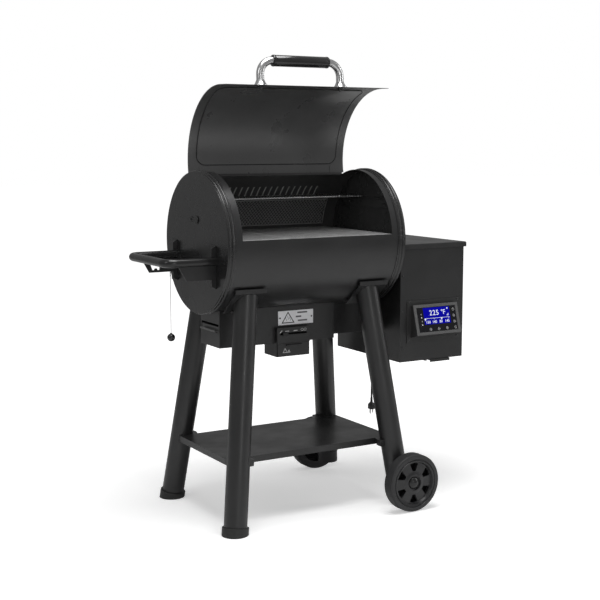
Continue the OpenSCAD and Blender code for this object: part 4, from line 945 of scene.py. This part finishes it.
def make_handle_nuts():
    """Domed nuts on washers that hold the handle from inside the lid."""
    low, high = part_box("lid_handle_tube")
    span = (high.x - low.x) / 2 - 23 * MM
    angle = radians(17.6)
    for index, side in enumerate((-1, 1)):
        origin = opened(around(LID_IN, angle, side * span))
        inward = opened(around(LID_IN - 1, angle, side * span)) - origin
        place = placed(origin, inward, (1, 0, 0))
        bm = bmesh.new()
        lathe(bm, [(0, 0), (11, 0), (11, 1.2), (10.4, 1.8), (6, 1.8)], 28, place)
        lathe(bm, [(6.6, 1.8), (6.6, 7), (5.4, 9.5), (3, 11.4), (0, 12)], 6, place)
        finish_piece("handle_nut_%d" % (index + 1), bm, "screw_black", "lid", sharp=25)


def make_handle_grip():
    """The grip: a gloss sleeve with rolled ends and a shallow groove near each."""
    low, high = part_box("lid_handle_grip")
    centre = (low + high) / 2
    half = (high.x - low.x) / 2 / MM
    outer, inner = 19.5, 13.2
    groove = outer - 0.9
    side = [(inner, half), (outer - 3, half), (outer - 1.2, half - 0.7), (outer, half - 2.8),
            (outer, half - 7), (groove, half - 7.9), (groove, half - 9.5), (outer - 0.5, half - 10.5)]
    profile = side + [(r, -z) for r, z in side[::-1]] + [(inner, half)]
    place = placed(centre, (1, 0, 0), (0, 0, 1))
    bm = bmesh.new()
    lathe(bm, profile, 56, place)
    grip = finish_piece("handle_grip_sleeve", bm, "grip_gloss", "lid", sharp=25)
    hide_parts("lid_handle_grip")


# Screws -------------------------------------------------------------------------------


def cross_outline(arm, width):
    a, w = arm, width / 2
    return [(w, w), (a, w), (a, -w), (w, -w), (w, -a), (-w, -a), (-w, -w), (-a, -w), (-a, w), (-w, w),
            (-w, a), (w, a)]


def pan_head(bm, place, radius, height):
    """A domed head with a cross recess."""
    rings = []
    for share, level in ((1, 0), (1, 0.35), (0.94, 0.62), (0.8, 0.85), (0.62, 1.0)):
        r, z = radius * share, height * level
        rings.append([bm.verts.new(place @ Vector((r * cos(a), r * sin(a), z))) for a in angles(24)])
    for first, second in zip(rings, rings[1:]):
        bridge(bm, first, second)
    bm.faces.new(rings[0][::-1])
    outline = cross_outline(0.5 * radius, 0.2 * radius)
    rim, floor = [[bm.verts.new(place @ Vector((x, y, z))) for x, y in outline]
                  for z in (height, height * 0.45)]
    top = rings[-1]
    edges = [bm.edges.new(pair) for pair in zip(rim, rim[1:] + rim[:1])]
    edges += [bm.edges.get(pair) for pair in zip(top, top[1:] + top[:1])]
    bmesh.ops.triangle_fill(bm, use_beauty=True, edges=edges)
    for face in [f for f in bm.faces if all(v in rim for v in f.verts)]:
        bm.faces.remove(face)
    bridge(bm, rim, floor)
    bm.faces.new(floor)


def make_screws():
    """Every screw of the CAD node again, with a dome and a recess."""
    source = bmesh.new()
    source.from_mesh(nodes["screws"].data)
    bmesh.ops.remove_doubles(source, verts=source.verts, dist=1e-6)
    left = set(source.verts)
    bm = bmesh.new()
    middle = Vector((BARREL_X, 0, BARREL_Z))
    while left:
        seed = left.pop()
        island, border = [seed], [seed]
        while border:
            for edge in border.pop().link_edges:
                for v in edge.verts:
                    if v in left:
                        left.remove(v)
                        island.append(v)
                        border.append(v)
        points = [v.co for v in island]
        faces = {f for v in island for f in v.link_faces}
        widest = max(faces, key=lambda f: f.calc_area())
        if widest.calc_area() > 1e-6:
            axis = Vector(widest.normal)
        else:
            axis = (widest.normal * widest.calc_area()).normalized()
        centre = sum(points, Vector()) / len(points)
        heights = [(p - centre).dot(axis) for p in points]
        low, high = min(heights), max(heights)

        def reach(level):
            near = [p for p, h in zip(points, heights) if abs(h - level) < 0.2 * MM]
            return max(((p - centre) - axis * (p - centre).dot(axis)).length for p in near)

        if abs(reach(low) - reach(high)) < 0.2 * MM:
            outward = 1 if (centre - middle).dot(axis) > 0 else -1
        else:
            outward = 1 if reach(low) > reach(high) else -1
        if outward < 0:
            axis, low, high = -axis, -high, -low
        radius = max(reach(low if outward > 0 else -low), reach(high if outward > 0 else -high))
        foot = centre + axis * low
        up = (0, 0, 1) if abs(axis.z) < 0.9 else (1, 0, 0)
        place = placed(foot, axis, up) @ Matrix.Rotation(rng.uniform(0, 1.5), 4, "Z")
        pan_head(bm, place, radius, high - low)
    source.free()
    screws = finish_piece("screw_heads", bm, "screw_black", sharp=30)
    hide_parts("screws")


# Controller, plate and printed marks ---------------------------------------------------


def on_glass():
    """X right, Y up the slope and Z outwards, from the middle of the glass's face."""
    centre = (glass_low + glass_high) / 2 + GLASS_NORMAL * 1 * MM
    return placed(centre, GLASS_NORMAL, (0, 0, 1))


def text_outline(place, text, size, x, y, name, spread=1.0):
    """Generic figures as a thin raised mesh, sized and placed in millimetres."""
    data = bpy.data.curves.new(name, "FONT")
    data.body = text
    data.size = size * MM
    data.align_x = "CENTER"
    data.extrude = 0.1 * MM
    data.offset = 0.1 * MM
    data.space_character = spread
    data.resolution_u = 4
    temporary = linked(name + "_text", data)
    bpy.context.view_layer.update()
    shown = temporary.evaluated_get(bpy.context.evaluated_depsgraph_get())
    mesh = bpy.data.meshes.new_from_object(shown)
    bpy.data.objects.remove(temporary)
    mesh.name = name
    mesh.transform(place @ Matrix.Translation((x * MM, y * MM, 0.5 * MM)))
    mesh.materials.clear()
    mesh.materials.append(materials["lcd_white"])
    obj = linked(name, mesh)
    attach(obj, "grill")


def make_display():
    place = on_glass()
    bm = bmesh.new()
    slab(bm, box_outline(-58, -18, 57, 42, 1), -0.3, 0.35, place)
    finish_piece("lcd_screen", bm, "lcd_blue", slot="display_glass")
    text_outline(place, "225", 26, -12, 14, "lcd_figures", 1.12)
    text_outline(place, "°F", 24, 28, 15, "lcd_unit", 0.9)
    for k, figures in enumerate(("150", "140", "80", "145")):
        text_outline(place, figures, 13.5, -43 + 28 * k, -14.5, "lcd_small_%d" % (k + 1))
    bm = bmesh.new()
    lit = (0.3, 0.55, place)
    stroke(bm, [(-55, 3.5), (54, 3.5)], 1.1, *lit)
    for x in (-54, 18):
        slab(bm, [(x - 4.5, 3), (x, -5), (x + 4.5, 3)], *lit)
    for x in (-15, 50):
        stroke(bm, [(x, 3), (x, -1)], 1.4, *lit)
    slab(bm, box_outline(45, 33, 50, 38, 1), *lit)
    for k in range(3):
        x = 43 + 3.2 * k
        stroke(bm, [(x, 9), (x, 12 + 2.5 * k)], 1.8, *lit)
    finish_piece("lcd_marks", bm, "lcd_white", slot="display_glass")
    bm = bmesh.new()
    ink = (-0.1, 0.15, place)
    for y, is_dot in ((20, False), (8, True), (-6, False), (-18, True)):
        if is_dot:
            slab(bm, disc_outline(2.6, -69, y), *ink)
        else:
            stroke(bm, [(-71, y - 2), (-69, y + 2), (-67, y - 2)], 1, *ink)
    finish_piece("status_marks", bm, "ink_white", slot="display_glass")


def make_button_marks():
    """A ring and a plain sign on each key; they ride on the key."""
    signs = [
        [[(-2.2, 0), (2.2, 0)]], [[(-2, -1.4), (0, 1.4), (2, -1.4)]],
        [[(-2, 1.4), (0, -1.4), (2, 1.4)]], [[(0, 0), (0, 2.8)]],
        [[(-2.2, -1.2), (0, 1.8), (2.2, -1.2)]], [[(-2.4, 0), (2.4, 0)], [(-2.4, -2), (2.4, -2)]],
        [[(-1.8, -1.8), (1.8, 1.8)], [(-1.8, 1.8), (1.8, -1.8)]],
    ]
    for name, lines in zip(BUTTONS, signs):
        low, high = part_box(name)
        centre = (low + high) / 2
        radius = (high.x - low.x) / 2 / MM
        half = max(abs((v.co - centre).dot(GLASS_NORMAL)) for v in nodes[name].data.vertices)
        ink = (-0.1, 0.12, placed(centre + GLASS_NORMAL * half, GLASS_NORMAL, (0, 0, 1)))
        bm = bmesh.new()
        stroke(bm, disc_outline(radius - 1), 0.7, *ink, True)
        for line in lines:
            stroke(bm, line, 0.9, *ink)
        finish_piece("mark_%s" % name, bm, "ink_white", name, "button_silicone")


def make_plate_marks():
    low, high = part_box("info_plate")
    face = Vector(((low.x + high.x) / 2, low.y, (low.z + high.z) / 2))
    ink = (-0.05, 0.12, placed(face, (0, -1, 0), (0, 0, 1)))
    bm = bmesh.new()
    stroke(bm, [(-54, -17), (-8, -17), (-31, 19)], 3.2, *ink, True)
    finish_piece("plate_triangle", bm, "ink_black", slot="plate_aluminium")
    bm = bmesh.new()
    for k, foot in enumerate((-11, -7, -11)):
        wave = [(-39 + 8 * k + 1.6 * sin(2 * pi * t / 8), foot + 14 * t / 8) for t in range(9)]
        stroke(bm, wave, 1.5, *ink)
    for y, x, wide in ((16, 6, 40), (2, 0, 22), (-12, 8, 38)):
        slab(bm, box_outline(x, y - 2.7, x + wide, y + 2.7, 1), *ink)
    finish_piece("plate_bars", bm, "ink_grey", slot="plate_aluminium")


def make_unit_marks():
    """Plain dashes, a stroke and rings on the clean-out unit, and triangles on its drawer."""
    low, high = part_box("cleanout_housing")
    face = Vector(((low.x + high.x) / 2, low.y, high.z))
    ink = (-0.05, 0.1, placed(face, (0, -1, 0), (0, 0, 1)))
    bm = bmesh.new()
    for x in (-26, 8):
        slab(bm, box_outline(x - 8, -14, x + 8, -11, 1), *ink)
    stroke(bm, [(-54, -18), (-46, -9)], 3, *ink)
    for cx in (34, 46):
        stroke(bm, [(cx + 5 * cos(a), -11 + 4 * sin(a)) for a in angles(12)], 1.2, *ink, True)
    finish_piece("unit_signs", bm, "ink_white", slot="black_powder_coat")
    low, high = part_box("ash_drawer")
    face = Vector(((low.x + high.x) / 2, low.y + 8 * MM, high.z))
    ink = (-0.05, 0.1, placed(face, (0, -1, 0), (0, 0, 1)))
    bm = bmesh.new()
    for cx, size in ((-34, 8), (-19, 4.5)):
        stroke(bm, [(cx - size, -32), (cx + size, -32), (cx, -32 + 1.7 * size)], 1.8, *ink, True)
    finish_piece("drawer_signs", bm, "ink_white", "ash_drawer", "black_powder_coat")


# Stage --------------------------------------------------------------------------------

ROOM_LIGHT, ROOM_MIRRORED = 0.25, 0.3
FLOOR_LIFT_NEAR, FLOOR_LIFT_FAR = 0.42, 0.85
FLOOR_HALF = 30


def area_light(name, location, target, size, energy, size_y=None):
    data = bpy.data.lights.new(name, "AREA")
    data.energy = energy
    data.size = size
    if size_y:
        data.shape = "RECTANGLE"
        data.size_y = size_y
    aim(linked(name, data), location, target)


def make_stage():
    mesh = bpy.data.meshes.new("floor")
    far = FLOOR_HALF
    corners = ((-far, -far), (far, -far), (far, far), (-far, far))
    mesh.from_pydata([(x, y, -0.5 * MM) for x, y in corners], [], [(0, 1, 2, 3)])
    n = Nodes("floor_paper")
    n.colour(n.mix(n.ramp(n.noise(2.0), 0, 1), (0.9, 0.9, 0.9), (0.92, 0.92, 0.92)))
    n.set(Roughness=0.9, Specular_IOR_Level=0.1, Emission_Color=(1, 1, 1, 1))
    away = n.vector_math("LENGTH", n.place)["Value"]
    lift = n.ramp(away, FLOOR_LIFT_NEAR, FLOOR_LIFT_FAR, 0.7, 2.6)
    seen = n.math("MULTIPLY", lift, n.add("ShaderNodeLightPath").outputs["Is Camera Ray"])
    n.link(seen, n.shader.inputs["Emission Strength"])
    mesh.materials.append(n.material)
    floor = linked("floor", mesh)

    world = bpy.data.worlds.new("studio")
    bpy.context.scene.world = world
    world.use_nodes = True
    tree = world.node_tree
    background = tree.nodes["Background"]
    background.inputs["Color"].default_value = (1, 1, 1, 1)
    seen = tree.nodes.new("ShaderNodeLightPath")
    level = tree.nodes.new("ShaderNodeMapRange")
    level.inputs["To Max"].default_value = 1.0
    tree.links.new(seen.outputs["Is Camera Ray"], level.inputs["Value"])
    mirrored = tree.nodes.new("ShaderNodeMapRange")
    mirrored.inputs["To Min"].default_value = ROOM_LIGHT
    mirrored.inputs["To Max"].default_value = ROOM_MIRRORED
    tree.links.new(seen.outputs["Is Glossy Ray"], mirrored.inputs["Value"])
    tree.links.new(mirrored.outputs["Result"], level.inputs["To Min"])
    tree.links.new(level.outputs["Result"], background.inputs["Strength"])

    area_light("top_box", (-0.2, -0.5, 3.6), (0, 0.1, 0.8), 1.8, 80)
    area_light("left_box", (-3.6, -1.0, 3.0), (0, 0, 0.9), 0.8, 12, 1.8)
    area_light("key_strip", (-0.75, -4.2, 1.55), (0, 0, 1.0), 0.4, 16, 2.2)
    area_light("right_strip", (3.2, -1.4, 2.0), (0, 0, 0.8), 0.4, 20, 2.4)
    bpy.context.scene.view_settings.view_transform = "Standard"


# Build --------------------------------------------------------------------------------

SPECIAL_COATS = {"barrel_shell": "barrel_coat", "left_end_cap": "cap_coat", "right_end_cap": "cap_coat",
                 "lid_shell": "lid_coat", "exhaust_hood": "hood_coat"}
rng = random.Random(7)
make_camera()
materials = make_materials()
make_cords()

for part in frame["record"]["subparts"]:
    for material_slot in nodes[part["node"]].material_slots:
        material_slot.material = materials[SPECIAL_COATS.get(part["node"], part["material_slot"])]

make_baffle_mesh()
make_warming_rack()
make_grates()
make_lid_liner()
make_handle_nuts()
make_handle_grip()
make_screws()
make_display()
make_button_marks()
make_plate_marks()
make_unit_marks()
make_stage()
